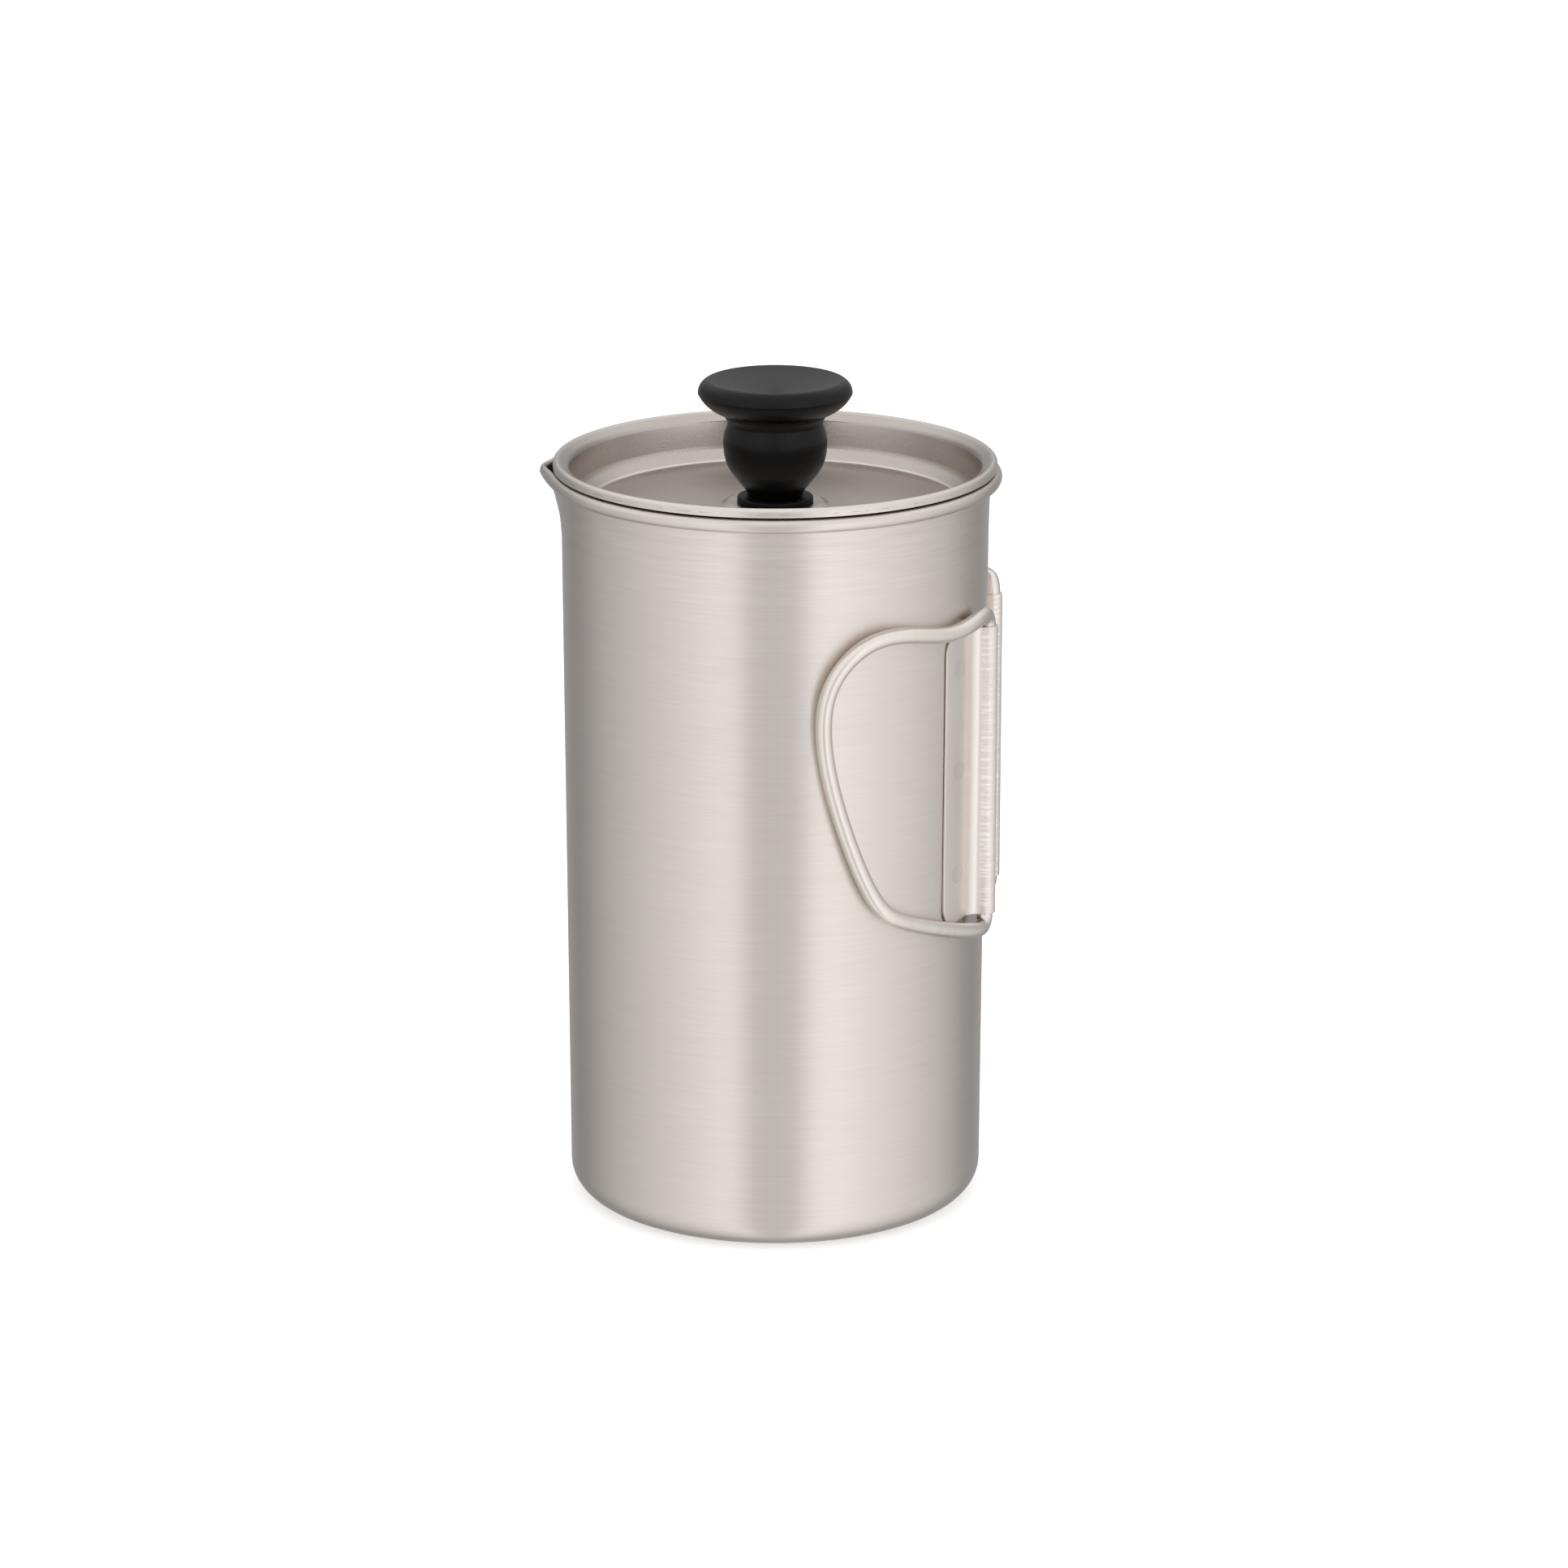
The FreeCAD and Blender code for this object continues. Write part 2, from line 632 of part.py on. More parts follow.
def make_knob():
    """Narrow foot, bulb, neck, and a wide cap with a round edge and a dished top."""
    body = new_body("knob", knob_height)
    edge = size["knob_cap_edge"]
    cap = size["knob_cap_radius"]
    top = size["knob_height"]
    bulb, bulb_height = size["knob_bulb_radius"], size["knob_bulb_height"]
    neck, neck_top = size["knob_neck_radius"], size["knob_neck_height"]
    foot = size["knob_foot_radius"]
    bore = size["insert_radius"] + size["pin_play"]
    pocket = size["insert_sink"] + size["insert_length"] + size["pin_play"]
    crest = cap - size["knob_crest_inset"]
    dish_floor = top - size["knob_dish"]
    dish_bend = (crest * crest + size["knob_dish"] * size["knob_dish"]) / (size["knob_dish"] * 2)
    section = draw(new_sketch(body, "knob_section", "XZ_Plane"), [
        (bore, zero),
        (foot, zero),
        (foot + size["knob_foot_flare"], size["knob_foot_height"]),
        (bulb - size["knob_shoulder_inset"], size["knob_shoulder_height"]),
        (bulb, bulb_height),
        (neck, neck_top),
        (neck + size["knob_neck_step"], size["knob_cap_height"]),
        (cap, top - edge),
        (crest, top),
        (zero, dish_floor),
        (zero, pocket),
        (bore, pocket),
    ], {
        2: (size["knob_shoulder_bow"], 1), 3: (size["knob_bulb_bow"], 1), 4: (size["knob_waist_bow"], 1),
        6: (size["knob_cap_bow"], 1), 7: (edge, 1), 8: (dish_bend, -1),
    })
    revolve(body, "Revolution", section)
    return body


def make_knob_insert():
    body = new_body("knob_insert", knob_height + size["insert_sink"])
    length = size["insert_length"]
    blind = size["stud_in_knob"] + size["pin_play"]
    section = draw(new_sketch(body, "insert_section", "XZ_Plane"), [
        (stud_bore, zero), (size["insert_radius"], zero), (size["insert_radius"], length), (zero, length),
        (zero, blind), (stud_bore, blind)])
    revolve(body, "Revolution", section)
    return body


def make_rod():
    """Rod with a thinner threaded end at the knob and at the filter."""
    bottom = nut_height + size["nut_tip"]
    body = new_body("plunger_rod", bottom)
    stud, rod = size["stud_radius"], size["rod_radius"]
    shoulder = collar_height - bottom
    top_shoulder = knob_height + size["insert_sink"] - size["pin_play"] - bottom
    top = knob_height + size["insert_sink"] + size["stud_in_knob"] - bottom
    section = draw(new_sketch(body, "rod_section", "XZ_Plane"), [
        (zero, zero), (stud, zero), (stud, shoulder), (rod, shoulder),
        (rod, top_shoulder), (stud, top_shoulder), (stud, top), (zero, top)])
    revolve(body, "Revolution", section)
    return body


# ---------------------------------------------------------------- filter stack

def make_collar():
    body = new_body("rod_collar", collar_height)
    top = size["collar_height"]
    section = draw(new_sketch(body, "collar_section", "XZ_Plane"), [
        (rod_bore, zero), (size["collar_radius"], zero), (size["collar_radius"], top), (rod_bore, top)])
    revolve(body, "Revolution", section)
    round_rings(body, size["collar_edge"], [(size["collar_radius"], top)])
    return body


def make_spiral_plate():
    """Perforated plate with a stepped-up edge that the spring is wound through."""
    body = new_body("spiral_plate", plate_height)
    thick = size["plate_sheet"]
    rise = plate_rise
    flat = plate_edge - size["plate_rim_width"]
    edge = plate_edge
    step = flat + rise
    slope_shift = thick * (math.sqrt(2) - 1)     # keeps the slope as thick as the sheet
    section = draw(new_sketch(body, "plate_section", "XZ_Plane"), [
        (stud_bore, zero), (flat, zero), (step, rise), (edge, rise), (edge, rise + thick),
        (step - slope_shift, rise + thick), (flat - slope_shift, thick), (stud_bore, thick)])
    revolve(body, "Revolution", section)
    circle = flat - size["plate_hole_margin"]
    inmost = size["collar_radius"] + size["plate_hole_radius"]
    ring = 0
    while circle.value > inmost.value:
        ring += 1
        count = round(2 * math.pi * circle.value / size["plate_hole_pitch"].value)
        hole = new_sketch(body, f"plate_hole_{ring}", "XY_Plane")
        draw_circle(hole, size["plate_hole_radius"], (circle, zero))
        doc.recompute()
        repeat_round(body, cut_through(body, hole), hole, count)
        circle = circle - size["plate_ring_step"]
    return body


def make_edge_spring():
    """The ring that the coil fills, slotted for the plate's edge."""
    coil = size["spring_radius"]
    middle = plate_height + plate_rise + size["plate_sheet"] / 2
    ring_radius = filter_radius - size["mesh_sheet"] - size["spring_play"] - coil
    ring = doc.addObject("Part::Torus", "spring_ring")
    bind(ring, "Radius1", ring_radius)
    bind(ring, "Radius2", coil)
    slot = doc.addObject("Part::Cylinder", "spring_slot")
    play = size["spring_play"]
    bind(slot, "Radius", plate_edge + play)
    bind(slot, "Height", size["plate_sheet"] + play * 2)
    bind(slot, "Placement.Base.z", -(size["plate_sheet"] / 2 + play))
    spring = doc.addObject("Part::Cut", "edge_spring")
    spring.Label = "edge_spring"
    spring.Base = ring
    spring.Tool = slot
    place(spring, middle)
    return spring


def make_filter_mesh():
    """Mesh disc with its edge turned up round the spring."""
    body = new_body("filter_mesh", mesh_height)
    thick = size["mesh_sheet"]
    rim = thick + size["spring_lift"] + size["spring_radius"] * 2 + size["mesh_rim_margin"]
    section = draw(new_sketch(body, "mesh_section", "XZ_Plane"), [
        (stud_bore, zero), (filter_radius, zero), (filter_radius, rim),
        (filter_radius - thick, rim), (filter_radius - thick, thick), (stud_bore, thick)])
    revolve(body, "Revolution", section)
    round_rings(body, thick * 2, [(filter_radius, zero)])
    return body


def make_cross_plate():
    body = new_body("cross_plate", cross_height)
    radius = filter_radius - size["cross_inset"]
    disc = draw_circle(new_sketch(body, "cross_disc", "XY_Plane"), radius)
    pad(body, disc, size["cross_sheet"])
    centre = draw_circle(new_sketch(body, "cross_centre", "XY_Plane"), stud_bore)
    cut_through(body, centre)
    hole = new_sketch(body, "cross_hole", "XY_Plane")
    draw_circle(hole, size["cross_hole_radius"], ((radius + nut_reach) / 2, zero))
    repeat_round(body, cut_through(body, hole), hole, 6)
    return body


def make_hub_nut():
    body = new_body("hub_nut", nut_height)
    turns = [as_size(60 * k + 30) for k in range(6)]
    corners = [(nut_reach * cosine(turn), nut_reach * sine(turn)) for turn in turns]
    hexagon = draw(new_sketch(body, "nut_outline", "XY_Plane"), corners)
    pad(body, hexagon, size["nut_height"])
    bore = draw_circle(new_sketch(body, "nut_bore", "XY_Plane"), stud_bore)
    cut_through(body, bore)
    return body


def save(pieces):
    doc.recompute()
    for thing in doc.Objects:
        if {"Invalid", "Error"} & set(thing.State):
            raise RuntimeError(f"{thing.Label} failed: {thing.State}")
    for piece in pieces:
        if piece.Shape.isNull() or not piece.Shape.isValid() or piece.Shape.Volume <= 0:
            raise RuntimeError(f"{piece.Label} has no valid shape")
    os.makedirs("parts", exist_ok=True)
    for piece in pieces:
        piece.Shape.exportStep(f"parts/{piece.Label}.step")
        box = piece.Shape.BoundBox
        print(f"{piece.Label:18s} volume {piece.Shape.Volume:9.1f}  z {box.ZMin:7.2f} to {box.ZMax:7.2f}  "
              f"x {box.XMin:7.2f} to {box.XMax:7.2f}  solids {len(piece.Shape.Solids)}")


save([
    make_pot(),
    make_hinge_plate("hinge_plate_front", -1),
    make_hinge_plate("hinge_plate_rear", 1),
    make_handle("handle_wire_front", -1),
    make_handle("handle_wire_rear", 1),
    make_lid(),
    make_bush(),
    make_lock_ring(),
    make_knob(),
    make_knob_insert(),
    make_rod(),
    make_collar(),
    make_spiral_plate(),
    make_edge_spring(),
    make_filter_mesh(),
    make_cross_plate(),
    make_hub_nut(),
])
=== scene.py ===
import json
import math

import bmesh
import bpy
from mathutils import Matrix, Vector, noise


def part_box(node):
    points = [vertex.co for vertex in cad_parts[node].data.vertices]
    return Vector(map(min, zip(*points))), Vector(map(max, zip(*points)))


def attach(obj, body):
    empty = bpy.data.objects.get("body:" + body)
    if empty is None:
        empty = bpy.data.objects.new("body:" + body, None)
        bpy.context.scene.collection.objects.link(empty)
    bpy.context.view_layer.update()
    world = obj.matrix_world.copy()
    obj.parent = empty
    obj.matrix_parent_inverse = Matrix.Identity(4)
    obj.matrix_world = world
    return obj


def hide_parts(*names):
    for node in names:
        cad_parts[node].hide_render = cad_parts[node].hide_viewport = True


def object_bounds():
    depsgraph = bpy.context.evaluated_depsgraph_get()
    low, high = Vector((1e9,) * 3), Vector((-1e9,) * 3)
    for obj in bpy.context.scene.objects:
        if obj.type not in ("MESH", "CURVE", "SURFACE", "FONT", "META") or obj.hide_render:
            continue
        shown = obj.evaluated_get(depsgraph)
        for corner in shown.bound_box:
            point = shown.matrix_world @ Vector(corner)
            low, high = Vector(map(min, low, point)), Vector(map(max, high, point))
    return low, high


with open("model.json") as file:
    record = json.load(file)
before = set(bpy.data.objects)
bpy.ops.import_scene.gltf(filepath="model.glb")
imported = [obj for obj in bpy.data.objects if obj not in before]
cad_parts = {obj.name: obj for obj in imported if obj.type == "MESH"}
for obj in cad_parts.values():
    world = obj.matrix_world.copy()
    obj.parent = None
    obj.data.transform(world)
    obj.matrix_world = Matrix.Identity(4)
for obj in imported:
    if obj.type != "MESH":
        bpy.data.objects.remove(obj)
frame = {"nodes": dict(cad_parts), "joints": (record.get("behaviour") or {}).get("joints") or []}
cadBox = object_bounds()
mm = 0.001
scene = bpy.context.scene
scene.view_settings.view_transform = "Standard"


# camera and light

cameraSetup = {
    "lens": 137.4,
    "aimHeight": 84.5 * mm,
    "distance": 1203 * mm,
    "pitch": 16.33,       # degrees down
    "side": 4.05,         # degrees round to the right
    "shift": 0.0056,
}


def makeCamera(setup):
    camera = bpy.data.objects.new("Camera", bpy.data.cameras.new("Camera"))
    scene.collection.objects.link(camera)
    pitch, side = math.radians(setup["pitch"]), math.radians(setup["side"])
    back = Vector((math.sin(side) * math.cos(pitch), -math.cos(side) * math.cos(pitch), math.sin(pitch)))
    camera.location = Vector((0, 0, setup["aimHeight"])) + back * setup["distance"]
    camera.rotation_euler = (-back).to_track_quat("-Z", "Y").to_euler()
    camera.data.lens = setup["lens"]
    camera.data.shift_x = setup["shift"]
    camera.data.clip_end = 60
    scene.camera = camera


# shader writing

class Value:
    # a socket that takes part in sums
    def __init__(self, shader, socket):
        self.shader, self.socket = shader, socket

    def maths(self, operation, *others, **settings):
        values = {n + 1: other for n, other in enumerate(others)}
        return self.shader.node("ShaderNodeMath", {"operation": operation, **settings}, {0: self, **values})

    def __add__(self, other):
        return self.maths("ADD", other)

    def __sub__(self, other):
        return self.maths("SUBTRACT", other)

    def __rsub__(self, other):
        return self.shader.node("ShaderNodeMath", {"operation": "SUBTRACT"}, {0: other, 1: self})

    def __mul__(self, other):
        return self.maths("MULTIPLY", other)

    def __truediv__(self, other):
        return self.maths("DIVIDE", other)

    def __pow__(self, other):
        return self.maths("POWER", other)

    def __abs__(self):
        return self.maths("ABSOLUTE")


class Shader:
    # one node tree and the ways to add to it
    def __init__(self, tree):
        self.tree = tree

    def node(self, kind, settings=None, inputs=None, output=0):
        made = self.tree.nodes.new(kind)
        for name, value in (settings or {}).items():
            if name == "stops":
                ramp = made.color_ramp
                while len(ramp.elements) < len(value):
                    ramp.elements.new(1)
                for element, (position, colour) in zip(ramp.elements, value):
                    element.position = position
                    element.color = (*colour, 1) if isinstance(colour, tuple) else (colour, colour, colour, 1)
            elif name == "interpolation":
                made.color_ramp.interpolation = value
            else:
                setattr(made, name, value)
        for name, value in (inputs or {}).items():
            if isinstance(value, Value):
                self.tree.links.new(value.socket, made.inputs[name])
            else:
                made.inputs[name].default_value = value
        return Value(self, made.outputs[output])

    def point(self, scale=(1, 1, 1)):
        # point on the object, stretched for a pattern
        spot = self.node("ShaderNodeTexCoord", output="Object")
        return self.node("ShaderNodeMapping", None, {"Vector": spot, "Scale": scale})

    def split(self, vector):
        parts = self.node("ShaderNodeSeparateXYZ", None, {0: vector})
        return [Value(self, socket) for socket in parts.socket.node.outputs]

    def noise(self, scale, detail, stretch=(1, 1, 1)):
        return self.node("ShaderNodeTexNoise", {"noise_dimensions": "3D"}, {
            "Vector": self.point(stretch), "Scale": scale, "Detail": detail, "Roughness": 0.55})

    def fit(self, value, low, high, new=(0.0, 1.0)):
        # spreads low..high of a value over a new range and stops at its ends
        return self.node("ShaderNodeMapRange", {"clamp": True}, {
            "Value": value, "From Min": low, "From Max": high, "To Min": new[0], "To Max": new[1]})

    def blend(self, share, first, second):
        # sockets 6 and 7 take the node's two colours, and its third output gives the mix
        mixer = self.node("ShaderNodeMix", {"data_type": "RGBA"}, {"Factor": share}).socket.node
        for number, colour in ((6, first), (7, second)):
            if isinstance(colour, Value):
                self.tree.links.new(colour.socket, mixer.inputs[number])
            else:
                mixer.inputs[number].default_value = (*colour, 1)
        return Value(self, mixer.outputs[2])

    def shade(self, share, dark, light):
        # from dark to light over the middle of a noise's range
        return self.blend(self.fit(share, 0.3, 0.7), dark, light)

    def bump(self, height, distance):
        return self.node("ShaderNodeBump", None, {"Height": height, "Distance": distance, "Strength": 1.0})


def finish(name, build, **constants):
    # a material: build returns what varies, constants go on the shader's own sockets
    material = bpy.data.materials.new(name)
    material.use_nodes = True
    shader = Shader(material.node_tree)
    surface = next(n for n in material.node_tree.nodes if n.type == "BSDF_PRINCIPLED")
    for socket, value in constants.items():
        surface.inputs[socket.replace("_", " ")].default_value = value
    for socket, value in build(shader).items():
        material.node_tree.links.new(value.socket, surface.inputs[socket])
    return material


# mesh making

def outline(corners):
    # corners are (r, z) in mm; "round" is the radius of a rounded corner, "bow" of an arc to the next corner
    points = []
    count = len(corners)
    for number, (r, z, *extra) in enumerate(corners):
        here = Vector((r, z))
        after = Vector(corners[(number + 1) % count][:2])
        before = Vector(corners[number - 1][:2])
        shape = dict(zip(extra[::2], extra[1::2]))
        if "round" in shape:
            back, on = (before - here).normalized(), (after - here).normalized()
            half = back.angle(on) / 2
            centre = here + (back + on).normalized() * shape["round"] / math.sin(half)
            start = here + back * shape["round"] / math.tan(half) - centre
            sweep = (math.pi - half * 2) * (1 if back.cross(on) < 0 else -1)
            steps = max(3, math.ceil(abs(sweep) / math.radians(10)))
            turns = [Matrix.Rotation(sweep * n / steps, 2) for n in range(steps + 1)]
            points += [centre + turn @ start for turn in turns]
        else:
            points.append(here)
        if "bow" in shape:
            half = (after - here) / 2
            radius = shape["bow"]
            square = Vector((half.y, -half.x)).normalized()
            depth = math.copysign(math.sqrt(radius ** 2 - half.length_squared), radius)
            centre = here + half - square * depth
            sweep = math.asin(half.length / abs(radius)) * 2 * (1 if radius > 0 else -1)
            steps = max(3, math.ceil(abs(sweep) / math.radians(8)))
            turns = [Matrix.Rotation(sweep * n / steps, 2) for n in range(1, steps)]
            points += [centre + turn @ (here - centre) for turn in turns]
    return [(point.x, point.y) for point in points]


def spin(points, steps):
    # turns a closed outline in mm about the Z axis
    bm = bmesh.new()
    verts = [bm.verts.new((max(r, 0) * mm, 0, z * mm)) for r, z in points]
    edges = [bm.edges.new(pair) for pair in zip(verts, verts[1:])]
    edges.append(bm.edges.new((verts[-1], verts[0])))
    bmesh.ops.spin(bm, geom=verts + edges, axis=(0, 0, 1), cent=(0, 0, 0), angle=math.tau, steps=steps,
                   use_merge=True)
    bmesh.ops.remove_doubles(bm, verts=bm.verts, dist=0.002 * mm)
    bmesh.ops.recalc_face_normals(bm, faces=bm.faces)
    return bm


def weigh(piece):
    # flat stretches keep their shading next to small rounds
    modifier = piece.modifiers.new("normals", "WEIGHTED_NORMAL")
    modifier.weight = 80
    modifier.keep_sharp = True


def place(bm, name, body, node, slot, material=None):
    # the piece for a node, finished as its slot says unless it has a material of its own
    mesh = bpy.data.meshes.new(name)
    bm.to_mesh(mesh)
    bm.free()
    mesh.shade_smooth()
    piece = bpy.data.objects.new(name, mesh)
    scene.collection.objects.link(piece)
    mesh.materials.append(material or finishes[slot])
    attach(piece, body)
    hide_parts(node)
    return piece


def turnPoint(point, angle):
    return Matrix.Rotation(angle, 3, "Z") @ point


# floor, backdrop and studio light

studio = {
    "facing": 4.05,        # degrees round, the middle of the bright panels
    "panels": [(0, 0.72), (13, 0.70), (20, 1.08), (30, 1.11), (42, 1.02), (56, 0.89), (70, 0.81), (86, 0.69),
               (104, 0.56), (116, 0.48), (128, 0.34), (145, 0.28), (160, 0.36), (180, 0.44)],
    "scale": 1.2,          # brightest value that the panels may have
    "level": 1.06,
    "rightHand": 0.2,      # how much brighter the right-hand side is
    "overhead": 1.06,
    "overheadFrom": 0.12,  # sine of the height where the overhead light starts
    "overheadTo": 0.8,
    "floor": 12.0,
    "floorGap": 0.05 * mm,
    "floorGlow": 0.42,
    "dome": 28.0,
}


def makeWorld(setup):
    world = bpy.data.worlds.new("studio")
    world.use_nodes = True
    scene.world = world
    shader = Shader(world.node_tree)
    x, y, z = shader.split(shader.node("ShaderNodeTexCoord", output="Generated"))
    side = math.radians(setup["facing"])
    across = x * math.cos(side) + y * math.sin(side)
    along = x * math.sin(side) - y * math.cos(side)
    turn = abs(across.maths("ARCTAN2", along)) / math.pi
    stops = [(degrees / 180, level / setup["scale"]) for degrees, level in setup["panels"]]
    panels = shader.node("ShaderNodeValToRGB", {"stops": stops, "interpolation": "B_SPLINE"}, {0: turn})
    overhead = shader.node("ShaderNodeMapRange", {"interpolation_type": "SMOOTHSTEP"}, {
        "Value": z, "From Min": setup["overheadFrom"], "From Max": setup["overheadTo"]})
    right = across.maths("MAXIMUM", 0.0) * setup["rightHand"] + 1
    level = panels * right * (setup["scale"] * setup["level"]) * (1 - overhead)
    level += overhead * setup["overhead"]
    background = next(n for n in world.node_tree.nodes if n.type == "BACKGROUND")
    world.node_tree.links.new(level.socket, background.inputs["Strength"])
    background.inputs["Color"].default_value = (1, 1, 1, 1)


def stagePiece(name, bm, **constants):
    mesh = bpy.data.meshes.new(name)
    bm.to_mesh(mesh)
    bm.free()
    mesh.materials.append(finish(name, lambda shader: {}, Emission_Color=(1, 1, 1, 1), **constants))
    piece = bpy.data.objects.new(name, mesh)
    scene.collection.objects.link(piece)
    return piece


def makeStage(setup):
    # metal doesn't mirror the floor, and only the camera sees the backdrop
    bm = bmesh.new()
    bmesh.ops.create_grid(bm, x_segments=1, y_segments=1, size=setup["floor"])
    floor = stagePiece("floor", bm, Base_Color=(0.86, 0.86, 0.86, 1), Roughness=0.9,
                       Emission_Strength=setup["floorGlow"])
    floor.location.z = cadBox[0].z - setup["floorGap"]
    floor.visible_glossy = False
    bm = bmesh.new()
    bmesh.ops.create_uvsphere(bm, u_segments=64, v_segments=32, radius=setup["dome"])
    backdrop = stagePiece("backdrop", bm, Base_Color=(0, 0, 0, 1), Specular_IOR_Level=0,
                          Emission_Strength=1.0)
    for ray in ("diffuse", "glossy", "transmission", "shadow", "volume_scatter"):
        setattr(backdrop, f"visible_{ray}", False)


# metals and plastics

titanium = {
    "pot": ((0.655, 0.600, 0.558), (0.735, 0.680, 0.637)),
    "lid": ((0.455, 0.412, 0.384), (0.545, 0.500, 0.468)),
    # the turned rim's colour, also used for the painted highlight along the lid's crease
    "rim": ((0.645, 0.598, 0.562), (0.745, 0.698, 0.660)),
    "scuff": (0.17, 0.15, 0.14),
    "hinge": ((0.770, 0.708, 0.665), (0.840, 0.780, 0.735)),
    # barrel colours, lighter than the leaf: painted highlight on the barrel and on its ridges
    "ridges": ((0.850, 0.790, 0.748), (0.990, 0.940, 0.900)),
    "weld": (0.55, 0.50, 0.46),
    "speck": (0.33, 0.29, 0.27),
    "wire": ((0.745, 0.695, 0.645), (0.815, 0.765, 0.712)),
    "linesPerMetre": 3100,
    "lineLength": 85,
    "lineDepth": 0.0028 * mm,
    "underRim": (128 * mm, 143 * mm),        # heights over which the turning lines grow
    "lidWall": (143.2 * mm, 145.0 * mm),     # heights over which the blasted grain sets in
    "lidLip": (147.0 * mm, 150.0 * mm),      # heights over which it fades again
    "lidRim": (42.2 * mm, 43.2 * mm),        # distances from the middle over which the turned rim starts
    # where the lid's floor crease gets a painted highlight, a thin ring in the rim's lighter colour
    "crease": 37.25 * mm,
    "creaseHighlightHeight": (143.4 * mm, 144.0 * mm),
    "creaseHighlightWidth": (0.1 * mm, 0.5 * mm),
    "seamHeight": 150.85 * mm,               # middle of the scuffed line round the rim
    "seamWidth": 0.2 * mm,
    "barrelStart": (43.7 * mm, 44.6 * mm),   # distances from the pot's middle line
    "ridgesEnd": (45.6 * mm, 46.4 * mm),
    "weldTurn": 27.8,                        # degrees from the middle plane to the spot welds
    "weldReach": 42.9 * mm,
    "weldHeights": (114.5 * mm, 93.8 * mm, 72.6 * mm),
    "weldRadius": 1.85 * mm,
    "weldEdge": 0.08 * mm,
    "weldRing": 0.14 * mm,
}


def potTitanium(shader):
    # turning lines round the pot, stronger under the rim, over a little cloudiness
    _, _, height = shader.split(shader.node("ShaderNodeTexCoord", output="Object"))
    around, density = titanium["lineLength"], titanium["linesPerMetre"]
    fine = shader.noise(1, 2, (around, around, density))
    coarse = shader.noise(1, 2, (around / 3, around / 3, density / 5))
    cloud = shader.noise(26, 2)
    underRim = shader.fit(height, *titanium["underRim"])
    lines = (fine - 0.5) * (underRim * 0.6 + 0.8) + (coarse - 0.5) * (underRim * 0.8 + 0.22)
    tone = shader.fit(lines * 0.9 + (cloud - 0.5) * 0.35, -0.35, 0.35)
    return {
        "Base Color": shader.blend(tone, *titanium["pot"]),
        "Roughness": shader.fit(coarse * 0.6 + cloud * 0.4, 0.3, 0.7, (0.27, 0.34)),
        "Normal": shader.bump(lines, titanium["lineDepth"]),
    }


def lidTitanium(shader):
    # blasted sheet with fine grain and pits, a painted highlight along the crease, and a turned rim with a
    # scuffed line
    x, y, height = shader.split(shader.node("ShaderNodeTexCoord", output="Object"))
    radius = (x * x + y * y) ** 0.5
    grain = shader.noise(3600, 2)
    cell = shader.node("ShaderNodeTexVoronoi", {"feature": "F1"}, {"Vector": shader.point(), "Scale": 900})
    pits = shader.fit(cell, 0.0, 0.16, (1.0, 0.0))
    cloud = shader.noise(45, 3)
    wall = shader.fit(height, *titanium["lidWall"]) * shader.fit(height, *titanium["lidLip"], (1.0, 0.0))
    turned = shader.fit(radius, *titanium["lidRim"])
    # painted highlight: a thin lighter ring along the floor's crease
    highlightRing = shader.fit(abs(radius - titanium["crease"]), *titanium["creaseHighlightWidth"], (1.0, 0.0))
    crease = highlightRing * shader.fit(height, *titanium["creaseHighlightHeight"], (1.0, 0.0))
    tone = shader.fit((grain - 0.5) * (wall * 0.9 + 0.45) + (cloud - 0.5) * 0.5, -0.3, 0.3)
    rough = shader.fit(grain * 0.5 + cloud * 0.5, 0.3, 0.7, (0.18, 0.24)) + wall * 0.08 + turned * 0.08
    relief = grain * (wall * 2.2 + 0.3) - pits * (wall * 0.8 + 0.1)
    seam = shader.fit(abs(height - titanium["seamHeight"]), 0.0, titanium["seamWidth"], (1.0, 0.0)) * turned
    scuff = shader.fit(shader.noise(1, 2, (420, 420, 1900)), 0.50, 0.60) * seam
    # the rim's own lighter turned colour, and the painted highlight along the crease
    rimOrHighlight = turned.maths("MAXIMUM", crease)
    colour = shader.blend(rimOrHighlight, shader.blend(tone, *titanium["lid"]), shader.blend(tone, *titanium["rim"]))
    return {
        "Base Color": shader.blend(scuff * 0.4, colour, titanium["scuff"]),
        "Roughness": rough,
        "Normal": shader.bump(relief - scuff * 1.5, 0.008 * mm),
    }


